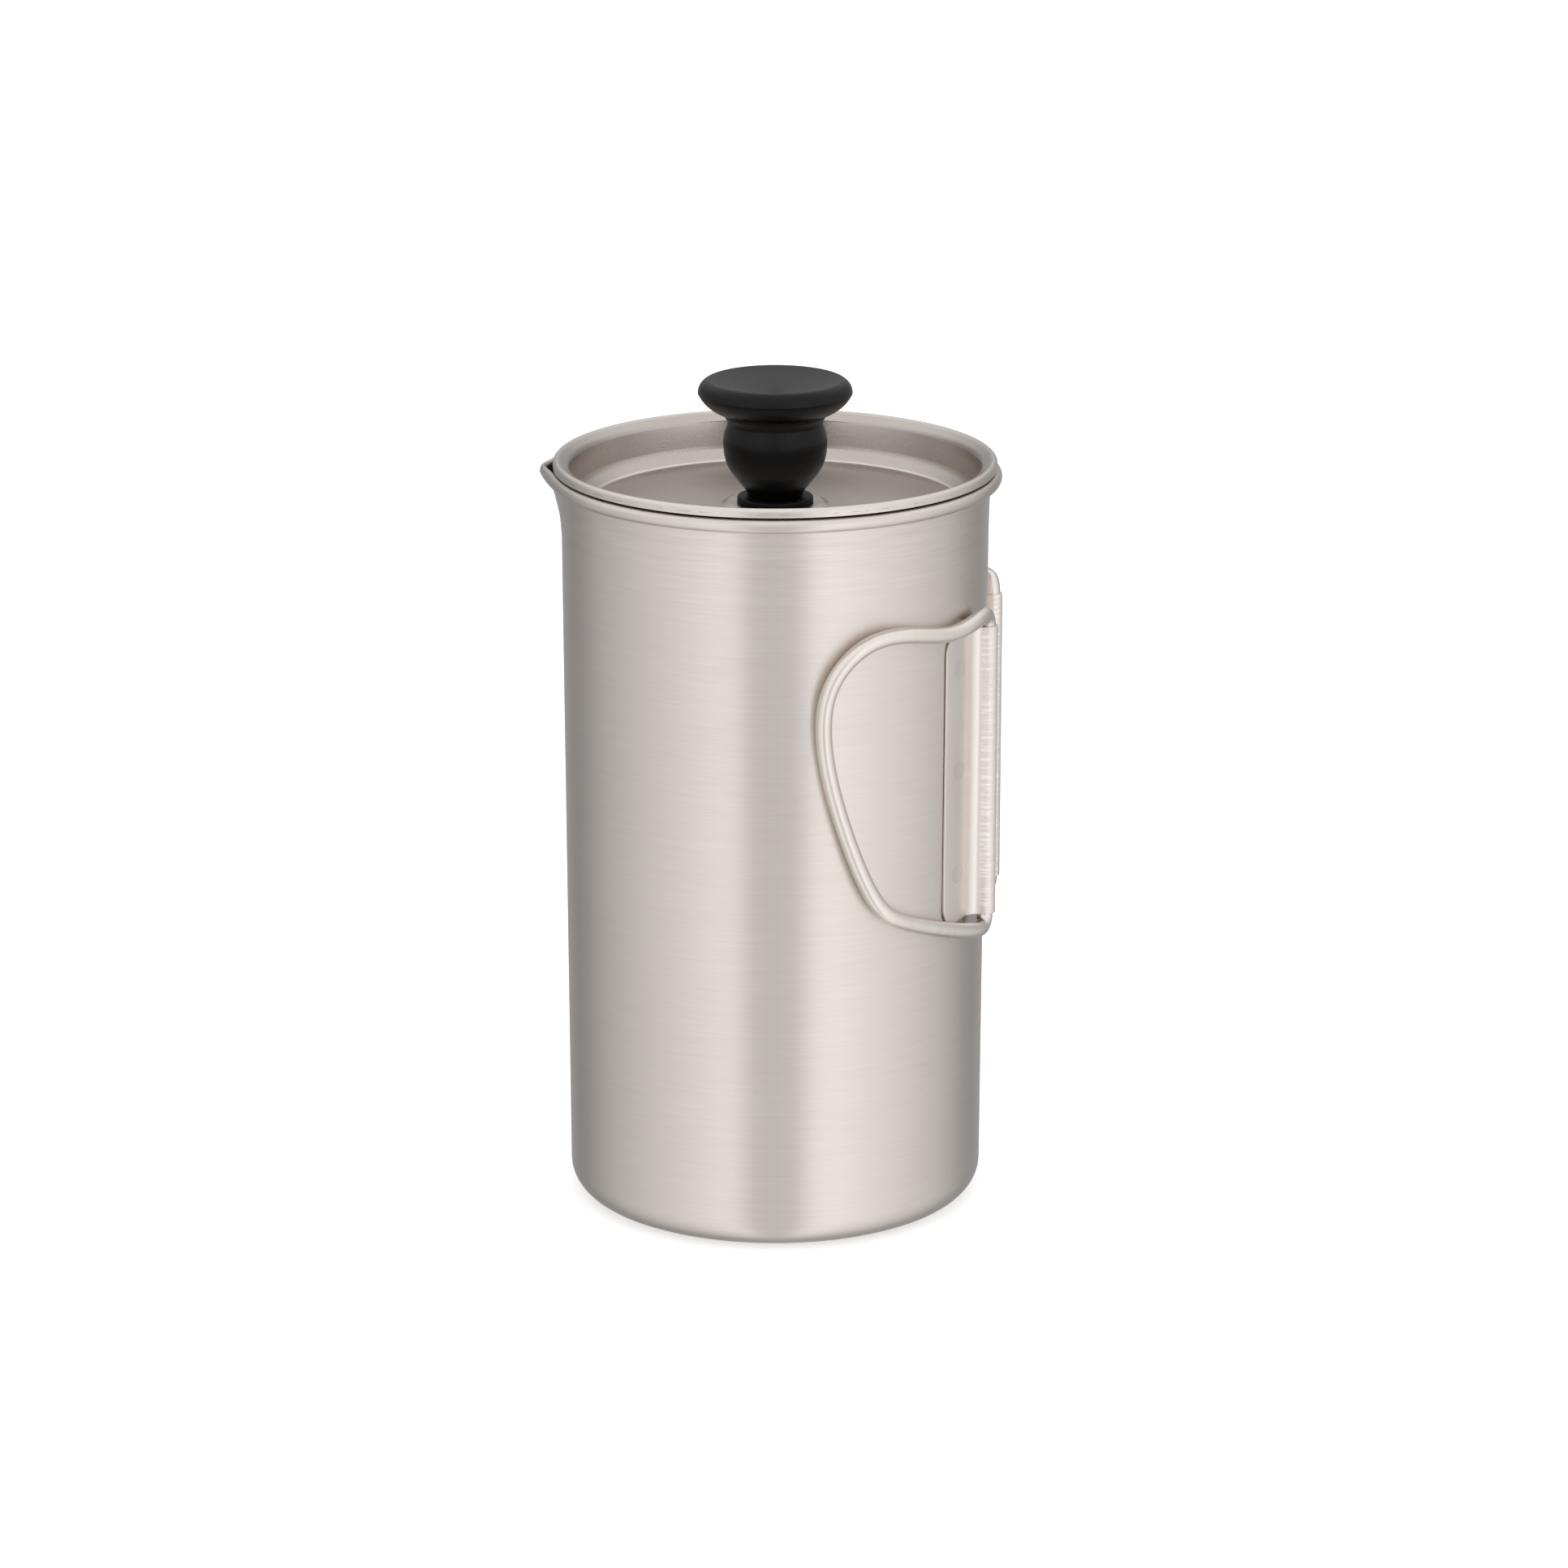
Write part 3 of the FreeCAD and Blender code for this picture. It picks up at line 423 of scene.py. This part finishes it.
def hingeTitanium(shader):
    # rolled sheet with short cross ridges on the barrels and three spot welds on each leaf; the barrels and
    # their ridges are lighter as painted highlight
    x, y, height = shader.split(shader.node("ShaderNodeTexCoord", output="Object"))
    radius = (x * x + y * y) ** 0.5
    cloud = shader.noise(60, 3)
    grain = shader.noise(2400, 2)
    barrel = shader.fit(radius, *titanium["barrelStart"])
    ridged = barrel * shader.fit(radius, *titanium["ridgesEnd"], (1.0, 0.25))
    # real ridges in the bump, and a painted highlight on them in the colour
    ridgesAndHighlights = shader.fit(shader.noise(1, 2, (110, 110, 2100)), 0.50, 0.60) * ridged
    along = (abs(y.maths("ARCTAN2", x)) - math.radians(titanium["weldTurn"])) * titanium["weldReach"]
    distance = 1.0
    for weld in titanium["weldHeights"]:
        rise = height - weld
        distance = (along * along + rise * rise).maths("MINIMUM", distance)
    distance = distance ** 0.5
    weldRadius = titanium["weldRadius"]
    ring = shader.fit(abs(distance - weldRadius), 0.0, titanium["weldRing"], (1.0, 0.0))
    disc = shader.fit(distance, weldRadius - titanium["weldEdge"], weldRadius, (1.0, 0.0))
    speck = shader.fit(shader.noise(2100, 1), 0.68, 0.76) * barrel
    tone = shader.fit((cloud - 0.5) * 0.7 + (grain - 0.5) * 0.35 + ridgesAndHighlights * 0.35, -0.3, 0.3)
    leaf = shader.blend(disc * 0.16 + ring * 0.5, shader.blend(tone, *titanium["hinge"]), titanium["weld"])
    # the barrel takes the lighter ridge colours as a painted highlight
    colour = shader.blend(barrel, leaf, shader.blend(ridgesAndHighlights, *titanium["ridges"]))
    return {
        "Base Color": shader.blend(speck * 0.45, colour, titanium["speck"]),
        "Roughness": shader.fit(cloud, 0.3, 0.7, (0.27, 0.34)) + barrel * 0.20,
        "Normal": shader.bump(ridgesAndHighlights * 1.0 + grain * 0.08 - speck * 0.4 - ring * 0.5, 0.035 * mm),
    }


def wireTitanium(shader):
    drawn = shader.noise(1, 2, (700, 700, 90))
    cloud = shader.noise(70, 2)
    return {
        "Base Color": shader.shade(drawn * 0.5 + cloud * 0.5, *titanium["wire"]),
        "Roughness": shader.fit(cloud, 0.3, 0.7, (0.24, 0.30)),
        "Normal": shader.bump(drawn, 0.001 * mm),
    }


def blackRubber(shader):
    # soft moulded black with a fine skin and a little dust
    skin = shader.noise(2600, 3)
    cloud = shader.noise(70, 3)
    dust = shader.fit(shader.noise(1500, 1), 0.74, 0.80)
    colour = shader.shade(cloud, (0.0016, 0.0016, 0.0017), (0.0030, 0.0030, 0.0031))
    return {
        "Base Color": shader.blend(dust * 0.2, colour, (0.04, 0.04, 0.04)),
        "Roughness": shader.fit(skin * 0.6 + cloud * 0.4, 0.3, 0.7, (0.30, 0.39)),
        "Normal": shader.bump(skin, 0.005 * mm),
    }


def blackBush(shader):
    skin = shader.noise(2200, 3)
    return {
        "Base Color": shader.shade(shader.noise(90, 2), (0.002, 0.002, 0.002), (0.005, 0.005, 0.005)),
        "Roughness": shader.fit(skin, 0.3, 0.7, (0.42, 0.55)),
        "Normal": shader.bump(skin, 0.005 * mm),
    }


def drawnSteel(shader):
    lines = shader.noise(1, 2, (2400, 2400, 90))
    cloud = shader.noise(80, 2)
    return {
        "Base Color": shader.shade(lines * 0.5 + cloud * 0.5, (0.52, 0.51, 0.50), (0.66, 0.65, 0.63)),
        "Roughness": shader.fit(lines, 0.3, 0.7, (0.16, 0.26)),
        "Normal": shader.bump(lines, 0.004 * mm),
    }


def rolledSteel(shader):
    lines = shader.noise(1, 3, (2600, 60, 60))
    mixed = lines * 0.5 + shader.noise(60, 3) * 0.5
    return {
        "Base Color": shader.shade(mixed, (0.50, 0.49, 0.48), (0.65, 0.64, 0.62)),
        "Roughness": shader.fit(mixed, 0.3, 0.7, (0.20, 0.32)),
        "Normal": shader.bump(lines, 0.004 * mm),
    }


def springSteel(shader):
    cloud = shader.noise(500, 2)
    return {
        "Base Color": shader.shade(cloud, (0.47, 0.46, 0.45), (0.62, 0.61, 0.59)),
        "Roughness": shader.fit(cloud, 0.3, 0.7, (0.18, 0.28)),
        "Normal": shader.bump(cloud, 0.003 * mm),
    }


def wovenSteel(shader):
    # plain weave, wires over and under in turn, with painted shade in the openings between them
    pitch = 0.42 * mm
    x, y, _ = shader.split(shader.node("ShaderNodeTexCoord", output="Object"))
    across, along = x * (math.pi / pitch), y * (math.pi / pitch)
    weft = abs(across.maths("SINE"))
    warp = abs(along.maths("SINE"))
    turn = (across * 0.5).maths("SINE") * (along * 0.5).maths("SINE")
    over = shader.fit(turn, -0.12, 0.12)
    height = weft * over + warp * (1 - over)
    # painted shade: the openings between the wires are coloured near black
    openingShade = shader.fit(weft.maths("MAXIMUM", warp), 0.28, 0.62)
    cloud = shader.noise(60, 3)
    colour = shader.blend(cloud, (0.50, 0.49, 0.47), (0.64, 0.63, 0.61))
    return {
        "Base Color": shader.blend(openingShade, (0.05, 0.05, 0.05), colour),
        "Roughness": shader.fit(cloud, 0.3, 0.7, (0.28, 0.40)),
        "Normal": shader.bump(height, 0.09 * mm),
    }


def turnedBrass(shader):
    rings = shader.noise(1, 2, (150, 150, 3000))
    cloud = shader.noise(200, 2)
    return {
        "Base Color": shader.shade(rings * 0.5 + cloud * 0.5, (0.55, 0.38, 0.15), (0.72, 0.53, 0.24)),
        "Roughness": shader.fit(rings, 0.3, 0.7, (0.20, 0.30)),
        "Normal": shader.bump(rings, 0.005 * mm),
    }


makeCamera(cameraSetup)
makeWorld(studio)
makeStage(studio)
finishes = {
    "titanium_pot": finish("brushedTitanium", potTitanium, Metallic=1.0, Anisotropic=0.82,
                           Anisotropic_Rotation=0.25),
    "titanium_lid": finish("blastedTitanium", lidTitanium, Metallic=1.0),
    "titanium_fittings": finish("wireTitanium", wireTitanium, Metallic=1.0),
    "hinge": finish("hingeTitanium", hingeTitanium, Metallic=1.0),
    "black_plastic": finish("blackRubber", blackRubber, Specular_IOR_Level=0.22),
    "black_bush": finish("blackBush", blackBush, Specular_IOR_Level=0.15),
    "brass_insert": finish("turnedBrass", turnedBrass, Metallic=1.0),
    "stainless_rod": finish("drawnSteel", drawnSteel, Metallic=1.0),
    "stainless_plate": finish("rolledSteel", rolledSteel, Metallic=1.0),
    "stainless_mesh": finish("wovenSteel", wovenSteel, Metallic=1.0),
    "stainless_spring": finish("springSteel", springSteel, Metallic=1.0),
}
print("studio and finishes ready")
for name, node in frame["nodes"].items():
    for holder in node.material_slots:
        slot = holder.name.split(".")[0]
        holder.material = finishes[slot]
print("carried-over parts finished")


# pot

pot = {
    "wall": 0.5,
    "baseCorner": 6.0,
    "baseRadius": 41.6,
    "neckRadius": 42.35,
    "rimRadius": 42.7,
    "flareHeight": 12.5,
    "beadRadius": 1.35,
    "beadBite": 0.05,         # how far the bead sits into the wall
    "curlSteps": 26,
    "spoutReach": 3.05,       # how far the spout's wall stands out at the lip
    "beadPull": 1.16,         # how much less the bead's outside follows it
    "spoutHeight": 15.0,
    "spoutTip": 4.2,
    "spoutBend": 2.3,         # how late the spout's wall bends out
    "segments": 288,
    "crowding": 0.72,         # more segments at the spout, fewer at the hinges
}
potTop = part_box("pot_shell")[1].z / mm


def wallRadius(height):
    # outside of the tapered wall, in mm
    neck = potTop - pot["beadRadius"] - pot["flareHeight"]
    return pot["baseRadius"] + (pot["neckRadius"] - pot["baseRadius"]) * height / neck


def potOutline(pot, top):
    wall, bead = pot["wall"], pot["beadRadius"]
    beadHeight = top - bead
    beadLine = pot["rimRadius"] - wall + bead + pot["beadBite"]
    neck = beadHeight - pot["flareHeight"]
    widening = pot["rimRadius"] - pot["neckRadius"]
    flare = (pot["flareHeight"] ** 2 + widening ** 2) / widening / 2
    crease = math.acos((pot["rimRadius"] - beadLine) / bead)
    steps = pot["curlSteps"]
    angles = [-crease + (crease + math.pi) * n / steps for n in range(steps + 1)]
    curl = [(beadLine + bead * math.cos(angle), beadHeight + bead * math.sin(angle)) for angle in angles]
    outside = outline([
        (0, 0), (pot["baseRadius"], 0, "round", pot["baseCorner"]), (pot["neckRadius"], neck, "bow", -flare),
        (pot["rimRadius"], curl[0][1] - 0.25)])
    inside = outline([
        (beadLine - bead, beadHeight - 1), (pot["neckRadius"] - wall, neck),
        (pot["baseRadius"] - wall, wall, "round", pot["baseCorner"] - wall), (0, wall)])
    return outside + curl + inside


def spoutWidth(angle, radius, reach, tip):
    # outline of a circle with a rounded nose, less the circle
    centre = radius + reach - tip
    side = math.acos((radius - tip) / centre)
    angle = abs(angle)
    if angle >= side:
        return 0
    if angle < math.atan2(tip * math.sin(side), centre + tip * math.cos(side)):
        return centre * math.cos(angle) + math.sqrt(tip ** 2 - (centre * math.sin(angle)) ** 2) - radius
    return radius / math.cos(side - angle) - radius


def makePot(pot):
    # the base, inside half the pot's radius, stays round
    rim, reach = pot["rimRadius"], pot["spoutReach"]
    lip = potTop - pot["beadRadius"]
    start = lip - pot["spoutHeight"]
    bm = spin(potOutline(pot, potTop), pot["segments"])
    for vert in bm.verts:
        angle = math.atan2(vert.co.y, -vert.co.x)
        angle -= pot["crowding"] * math.sin(angle)
        radius = vert.co.xy.length / mm
        share = min(max((vert.co.z / mm - start) / (lip - start), 0), 1) ** pot["spoutBend"]
        outer = min(max((radius - rim) / (pot["beadRadius"] * 1.65), 0), 1)
        push = spoutWidth(angle, rim, reach, pot["spoutTip"]) * share if radius > rim / 2 else 0
        radius += push * (1 - pot["beadPull"] / reach * outer)
        vert.co.x, vert.co.y = -radius * math.cos(angle) * mm, radius * math.sin(angle) * mm
    return place(bm, "potShell", "pot", "pot_shell", "titanium_pot")


weigh(makePot(pot))
print("pot ready")


# lid

lid = {
    "rimRadius": 44.0,
    "skirtLift": 0.35,      # from the pot's top to the foot of the rim
    "skirtEdge": 0.1,
    "lipWidth": 3.3,
    "lipDrop": 1.4,
    "wallDraft": 0.8,
    "sheet": 0.5,
    "crease": 37.2,         # where the flat floor turns up into the slanted band
    "creaseRound": 0.7,
    "band": 2.0,
    "bandInset": 0.15,
    "floorRound": 2.2,
    "lipRound": 1.6,
    "crestCut": 0.33,       # what the crest's rounding takes off the corner's height
    "crestRound": 0.85,
    "boss": 9.5,
    "bossRise": 0.5,
    "bossSlope": 1.0,
    "bossRound": 0.8,
    "hole": 5.55,
    "segments": 288,
}


def makeLid(lid):
    low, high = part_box("lid_pan")
    sheet, edge, bend = lid["sheet"], lid["skirtEdge"], lid["bossRound"]
    skirt = potTop + lid["skirtLift"]
    top, floor = high.z / mm, low.z / mm + sheet
    rim, lip = lid["rimRadius"], lid["rimRadius"] - lid["lipWidth"]
    foot = lip - lid["wallDraft"] - lid["bandInset"]
    lipTop, crest = top - lid["lipDrop"], top + lid["crestCut"]
    boss = floor + lid["bossRise"]
    slope = lid["boss"] + lid["bossSlope"]
    points = outline([
        (lid["hole"], boss), (lid["boss"], boss, "round", bend), (slope, floor, "round", bend),
        (lid["crease"], floor, "round", lid["creaseRound"]),
        (foot, floor + lid["band"], "round", lid["floorRound"]), (lip, lipTop, "round", lid["lipRound"]),
        (rim, crest, "round", lid["crestRound"]), (rim, skirt + edge), (rim - edge, skirt),
        (rim - sheet + edge, skirt), (rim - sheet, skirt + edge),
        (rim - sheet, crest - sheet, "round", lid["crestRound"] - sheet + edge),
        (lip + sheet, lipTop - sheet, "round", lid["lipRound"] - sheet),
        (foot + sheet, floor + lid["band"] - 0.2, "round", lid["floorRound"] + 0.3),
        (lid["crease"] + 0.2, floor - sheet, "round", lid["creaseRound"] + sheet),
        (slope, floor - sheet, "round", bend), (lid["boss"], boss - sheet, "round", bend),
        (lid["hole"], boss - sheet)])
    return place(spin(points, lid["segments"]), "lidPan", "lid", "lid_pan", "titanium_lid")


weigh(makeLid(lid))
print("lid ready")


# bush and knob

bush = {
    "bore": 2.55,
    "boreLead": 0.3,
    "radius": 5.5,
    "flange": 7.55,
    "flangeDepth": 1.05,
    "underRound": 0.12,
    "topRound": 0.45,
    "step": (1.9, 0.08),      # width of the raised edge on the flange, and its height
    "edge": 0.3,
    "segments": 96,
}


def makeBush(bush):
    low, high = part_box("guide_bush")
    bottom, top = low.z / mm, high.z / mm
    under = top - bush["flangeDepth"]
    width, rise = bush["step"]
    inner = bush["flange"] - width
    points = outline([
        (bush["bore"], bottom), (bush["radius"], bottom, "round", bush["edge"]), (bush["radius"], under),
        (bush["flange"], under, "round", bush["underRound"]),
        (bush["flange"], top, "round", bush["topRound"]),
        (inner, top, "round", 0.1), (inner - 0.1, top - rise, "round", 0.1),
        (bush["bore"] + bush["boreLead"], top - rise, "round", 0.1), (bush["bore"], top - 0.35)])
    return place(spin(points, bush["segments"]), "guideBush", "bush", "guide_bush", "black_bush")


knob = {
    "bore": 4.05,
    "boreDepth": 13.1,
    "foot": (5.4, 0.0),
    "footTop": (5.75, 1.0),
    "shoulder": (8.8, 4.8),
    "bulb": (10.3, 10.0),
    "neck": (9.45, 14.4),
    "ledge": (10.15, 16.1),
    "capUnder": (10.9, 16.75),
    "capEdge": (15.3, 20.6),
    "crest": 13.2,
    "dish": 2.9,
    "segments": 160,
}


def makeKnob(knob):
    low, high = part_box("knob")
    top = (high - low).z / mm
    ledge, capUnder = knob["ledge"], knob["capUnder"]
    points = outline([
        (knob["bore"], 0), (*knob["foot"], "round", 0.3), knob["footTop"], (*knob["shoulder"], "bow", 10.2),
        (*knob["bulb"], "bow", 8.4), (*knob["neck"], "bow", -3.2), (*ledge, "round", 0.25),
        (ledge[0] + 0.1, capUnder[1] - 0.05, "round", 0.1), (*capUnder, "bow", 7.6),
        (*knob["capEdge"], "bow", 2.72), (knob["crest"], top), (0, top - knob["dish"]),
        (0, knob["boreDepth"]), (knob["bore"], knob["boreDepth"])])
    bm = spin(points, knob["segments"])
    bmesh.ops.translate(bm, verts=bm.verts, vec=(0, 0, low.z))
    return place(bm, "knobMoulding", "plunger", "knob", "black_plastic")


weigh(makeBush(bush))
weigh(makeKnob(knob))
print("bush and knob ready")


# hinges and wire handles

hinge = {
    "sheet": 0.4,
    "clearance": 0.08,      # between the leaf and the wall
    "bore": 1.65,
    "leafAngle": 17.7,      # degrees of wall from the barrel's middle to the leaf's free edge
    "leafCorner": 3.2,
    "bend": 3.0,            # hollow round where the leaf climbs onto the barrel
    "roll": 313,            # degrees of sheet round the wire
    "weldAngle": 11.3,
    "welds": (51.9, 31.2, 10.0),
    "weldRadius": 1.95,
    "weldSlope": 0.3,
    "weldDepth": 0.06,
    "ridge": 0.0875,        # height of the ridges for each unit of noise past the start
    "ridgeStart": 0.18,
    "ridgeTurns": 2.2,
    "ridgeRows": 1.15,
    "edge": 0.07,
    "columns": (20, 14, 48),
    "rows": 236,
}

wire = {
    "radius": 1.6,
    "bend": 2.6,
    "bendSteps": 8,
    "endGap": 2.0,
    "reach": 44.8,          # along the wall from the hinge to the loop's far side
    "swell": 0.35,
    "firstPull": 1.7,       # how far the loop leaves its first bend straight, in bends
    "fromTop": [(0.31, -2.0), (0.56, 0.9), (0.80, 1.5), (1.0, -7.3), (1.007, -20.4)],
    "fromBottom": [(0.926, 29.3), (0.763, 10.3), (0.60, 6.4)],
    "sides": 7,
}


def hingeAxis(joint):
    pos = Vector(next(j for j in frame["joints"] if j["name"] == joint)["pos_m"]) / mm
    return pos.xy.length, math.atan2(pos.y, pos.x)


def rolledSheet(share, axis, middle):
    # middle of the hinge's sheet: share 0-1 along the leaf, 1-2 up the hollow bend, 2-3 round the wire
    bend, roll = hinge["bend"], hinge["bore"] + hinge["sheet"] / 2
    lean, rest = middle + bend, roll + bend
    foot = math.acos((lean ** 2 + axis ** 2 - rest ** 2) / (2 * lean * axis))
    if share <= 1:
        angle = math.radians(hinge["leafAngle"]) * (1 - share) + foot * share
        return Vector((math.cos(angle), math.sin(angle))) * middle
    centre = Vector((math.cos(foot), math.sin(foot))) * lean
    barrel = Vector((axis, 0))
    if share <= 2:
        down, out = -centre.normalized(), (barrel - centre).normalized()
        turn = down.angle(out) * (share - 1)
        return centre + Matrix.Rotation(turn, 2) @ down * bend
    start = (centre - barrel).normalized()
    return barrel + Matrix.Rotation(-math.radians(hinge["roll"]) * (share - 2), 2) @ start * roll


def sunkWeld(point, height, middle):
    # the leaf's sheet, pressed in at each spot weld
    along = (math.atan2(point.y, point.x) - math.radians(hinge["weldAngle"])) * middle
    near = min(math.hypot(along, height - weld) for weld in hinge["welds"])
    inside = min(max((hinge["weldRadius"] - near) / hinge["weldSlope"], 0), 1)
    return point * (1 - hinge["weldDepth"] * inside / middle)


def ridgedRoll(point, share, height, axis, side):
    # the barrel's sheet with its short cross ridges
    grain = noise.noise(Vector((share * hinge["ridgeTurns"], side * 7, height * hinge["ridgeRows"])))
    rise = max(grain - hinge["ridgeStart"], 0) * hinge["ridge"]
    barrel = Vector((axis, 0))
    return barrel + (point - barrel) * (1 + rise / (hinge["bore"] + hinge["sheet"]))


def makeHinge(name, node, joint, side):
    axis, spread = hingeAxis(joint)
    low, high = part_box(node)
    bottom, length = low.z / mm, (high.z - low.z) / mm
    leaf, bend, roll = hinge["columns"]
    columns, corner = leaf + bend + roll, hinge["leafCorner"]
    bm = bmesh.new()
    bmesh.ops.create_grid(bm, x_segments=columns, y_segments=hinge["rows"], size=0.5)
    for vert in bm.verts:
        column, row = (vert.co.x + 0.5) * columns, vert.co.y + 0.5
        share = column / leaf if column <= leaf else 1 + (column - leaf) / bend
        if share > 2:
            share = 2 + (column - leaf - bend) / roll
        middle = wallRadius(bottom + row * length) + hinge["clearance"] + hinge["sheet"] / 2
        point = rolledSheet(share, axis, middle)
        fromEdge = (point - rolledSheet(0, axis, middle)).length if share <= 1 else length
        trim = corner - math.sqrt(corner ** 2 - (corner - min(fromEdge, corner)) ** 2)
        height = trim + row * (length - trim * 2)
        if share <= 1:
            point = sunkWeld(point, height, middle)
        if share > 2:
            point = ridgedRoll(point, share, height, axis, side)
        vert.co = turnPoint(Vector((point.x, point.y * side, 0)), spread) * mm
        vert.co.z = (bottom + height) * mm
    bmesh.ops.recalc_face_normals(bm, faces=bm.faces)
    piece = place(bm, name, "pot", node, "titanium_fittings", finishes["hinge"])
    shell = piece.modifiers.new("sheet", "SOLIDIFY")
    shell.thickness, shell.offset, shell.use_even_offset = hinge["sheet"] * mm, 0, True
    edge = piece.modifiers.new("edge", "BEVEL")
    edge.width, edge.segments = hinge["edge"] * mm, 2
    edge.limit_method, edge.angle_limit = "ANGLE", math.radians(50)
    weigh(piece)


def curveMesh(curve):
    # the mesh that a curve gives, without leaving the curve behind
    holder = bpy.data.objects.new("curve", curve)
    scene.collection.objects.link(holder)
    mesh = bpy.data.meshes.new_from_object(holder)
    bpy.data.objects.remove(holder)
    return mesh


def smoothRoute(poles):
    # points along the clamped spline that the poles give
    curve = bpy.data.curves.new("route", "CURVE")
    curve.dimensions = "3D"
    spline = curve.splines.new("NURBS")
    spline.points.add(len(poles) - 1)
    for point, pole in zip(spline.points, poles):
        point.co = (*pole, 1)
    spline.order_u = 4
    spline.use_endpoint_u = True
    spline.resolution_u = 12
    return [vert.co.copy() for vert in curveMesh(curve).vertices]


def tube(name, points, radius, sides, ring=False):
    # round wire along points in mm, closed on itself when ring is set
    curve = bpy.data.curves.new(name, "CURVE")
    curve.dimensions = "3D"
    spline = curve.splines.new("POLY")
    spline.points.add(len(points) - 1)
    for point, spot in zip(spline.points, points):
        point.co = (*(spot * mm), 1)
    spline.use_cyclic_u = ring
    curve.bevel_depth = radius * mm
    curve.bevel_resolution = sides
    curve.use_fill_caps = not ring
    bm = bmesh.new()
    bm.from_mesh(curveMesh(curve))
    bmesh.ops.remove_doubles(bm, verts=bm.verts, dist=0.001 * mm)
    bmesh.ops.recalc_face_normals(bm, faces=bm.faces)
    return bm


def makeHandle(name, node, joint, body, side):
    axis, spread = hingeAxis(joint)
    low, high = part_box("hinge_plate_front")
    bottom, length = low.z / mm, (high.z - low.z) / mm
    bend, steps = wire["bend"], wire["bendSteps"]

    def onWall(share, height):
        angle = side * share * wire["reach"] / axis
        outer = axis + wire["swell"]
        return Vector((outer * math.cos(angle), outer * math.sin(angle), height))

    def quarter(height, sign):
        # bend from the barrel's end towards the loop
        centre = Vector((axis, side * bend, height))
        angles = [math.pi / 2 * n / steps for n in range(steps + 1)]
        return [centre + Vector((0, -side * bend * math.cos(a), sign * bend * math.sin(a))) for a in angles]

    upper, lower = quarter(length, 1), quarter(0, -1)
    pull = Vector((0, side * bend * wire["firstPull"], 0))
    poles = [upper[-1], upper[-1] + pull]
    poles += [onWall(share, length + bend + rise) for share, rise in wire["fromTop"]]
    poles += [onWall(share, rise - bend) for share, rise in wire["fromBottom"]]
    poles += [lower[-1] + pull, lower[-1]]
    ends = [Vector((axis, 0, length / 2 + sign * wire["endGap"] / 2)) for sign in (1, -1)]
    route = [ends[0]] + upper + smoothRoute(poles)[1:-1] + lower[::-1] + [ends[1]]
    route = [turnPoint(point, spread) + Vector((0, 0, bottom)) for point in route]
    bm = tube(name, route, wire["radius"], wire["sides"])
    weigh(place(bm, name, body, node, "titanium_fittings"))


for end, side in (("front", -1), ("rear", 1)):
    joint = f"handle_{end}_fold"
    makeHinge(f"hinge{end.title()}", f"hinge_plate_{end}", joint, side)
    makeHandle(f"handle{end.title()}", f"handle_wire_{end}", joint, f"handle_{end}", side)
print("hinges and handles ready")


# filter: coil spring round the plate and the woven mesh cup

spring = {
    "wire": 0.17,
    "turns": 150,
    "pointsPerTurn": 12,
    "sides": 1,
}

cup = {
    "bore": 2.05,
    "sheet": 0.3,
    "round": 0.9,
    "edge": 0.1,
    "edgeDrop": 0.02,
    "segments": 200,
}


def makeSpring(spring):
    low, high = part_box("edge_spring")
    coil = (high.z - low.z) / 2 / mm - spring["wire"]
    ring = high.x / mm - coil - spring["wire"]
    middle = (high.z + low.z) / 2 / mm
    count = spring["turns"] * spring["pointsPerTurn"]
    points = []
    for n in range(count):
        around = math.tau * n / count
        wound = math.tau * n / spring["pointsPerTurn"]
        reach = ring + coil * math.cos(wound)
        rise = coil * math.sin(wound)
        points.append(Vector((reach * math.cos(around), reach * math.sin(around), middle + rise)))
    bm = tube("edgeSpring", points, spring["wire"], spring["sides"], ring=True)
    place(bm, "edgeSpring", "plunger", "edge_spring", "stainless_spring")


def makeCup(cup):
    low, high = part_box("filter_mesh")
    outer, bottom, top = high.x / mm, low.z / mm, high.z / mm - cup["edgeDrop"]
    sheet, edge = cup["sheet"], cup["edge"]
    points = outline([
        (cup["bore"], bottom), (outer, bottom, "round", cup["round"]), (outer, top, "round", edge),
        (outer - sheet, top, "round", edge),
        (outer - sheet, bottom + sheet, "round", cup["round"] - sheet), (cup["bore"], bottom + sheet)])
    weigh(place(spin(points, cup["segments"]), "filterCup", "plunger", "filter_mesh", "stainless_mesh"))


makeSpring(spring)
makeCup(cup)
print("filter ready")
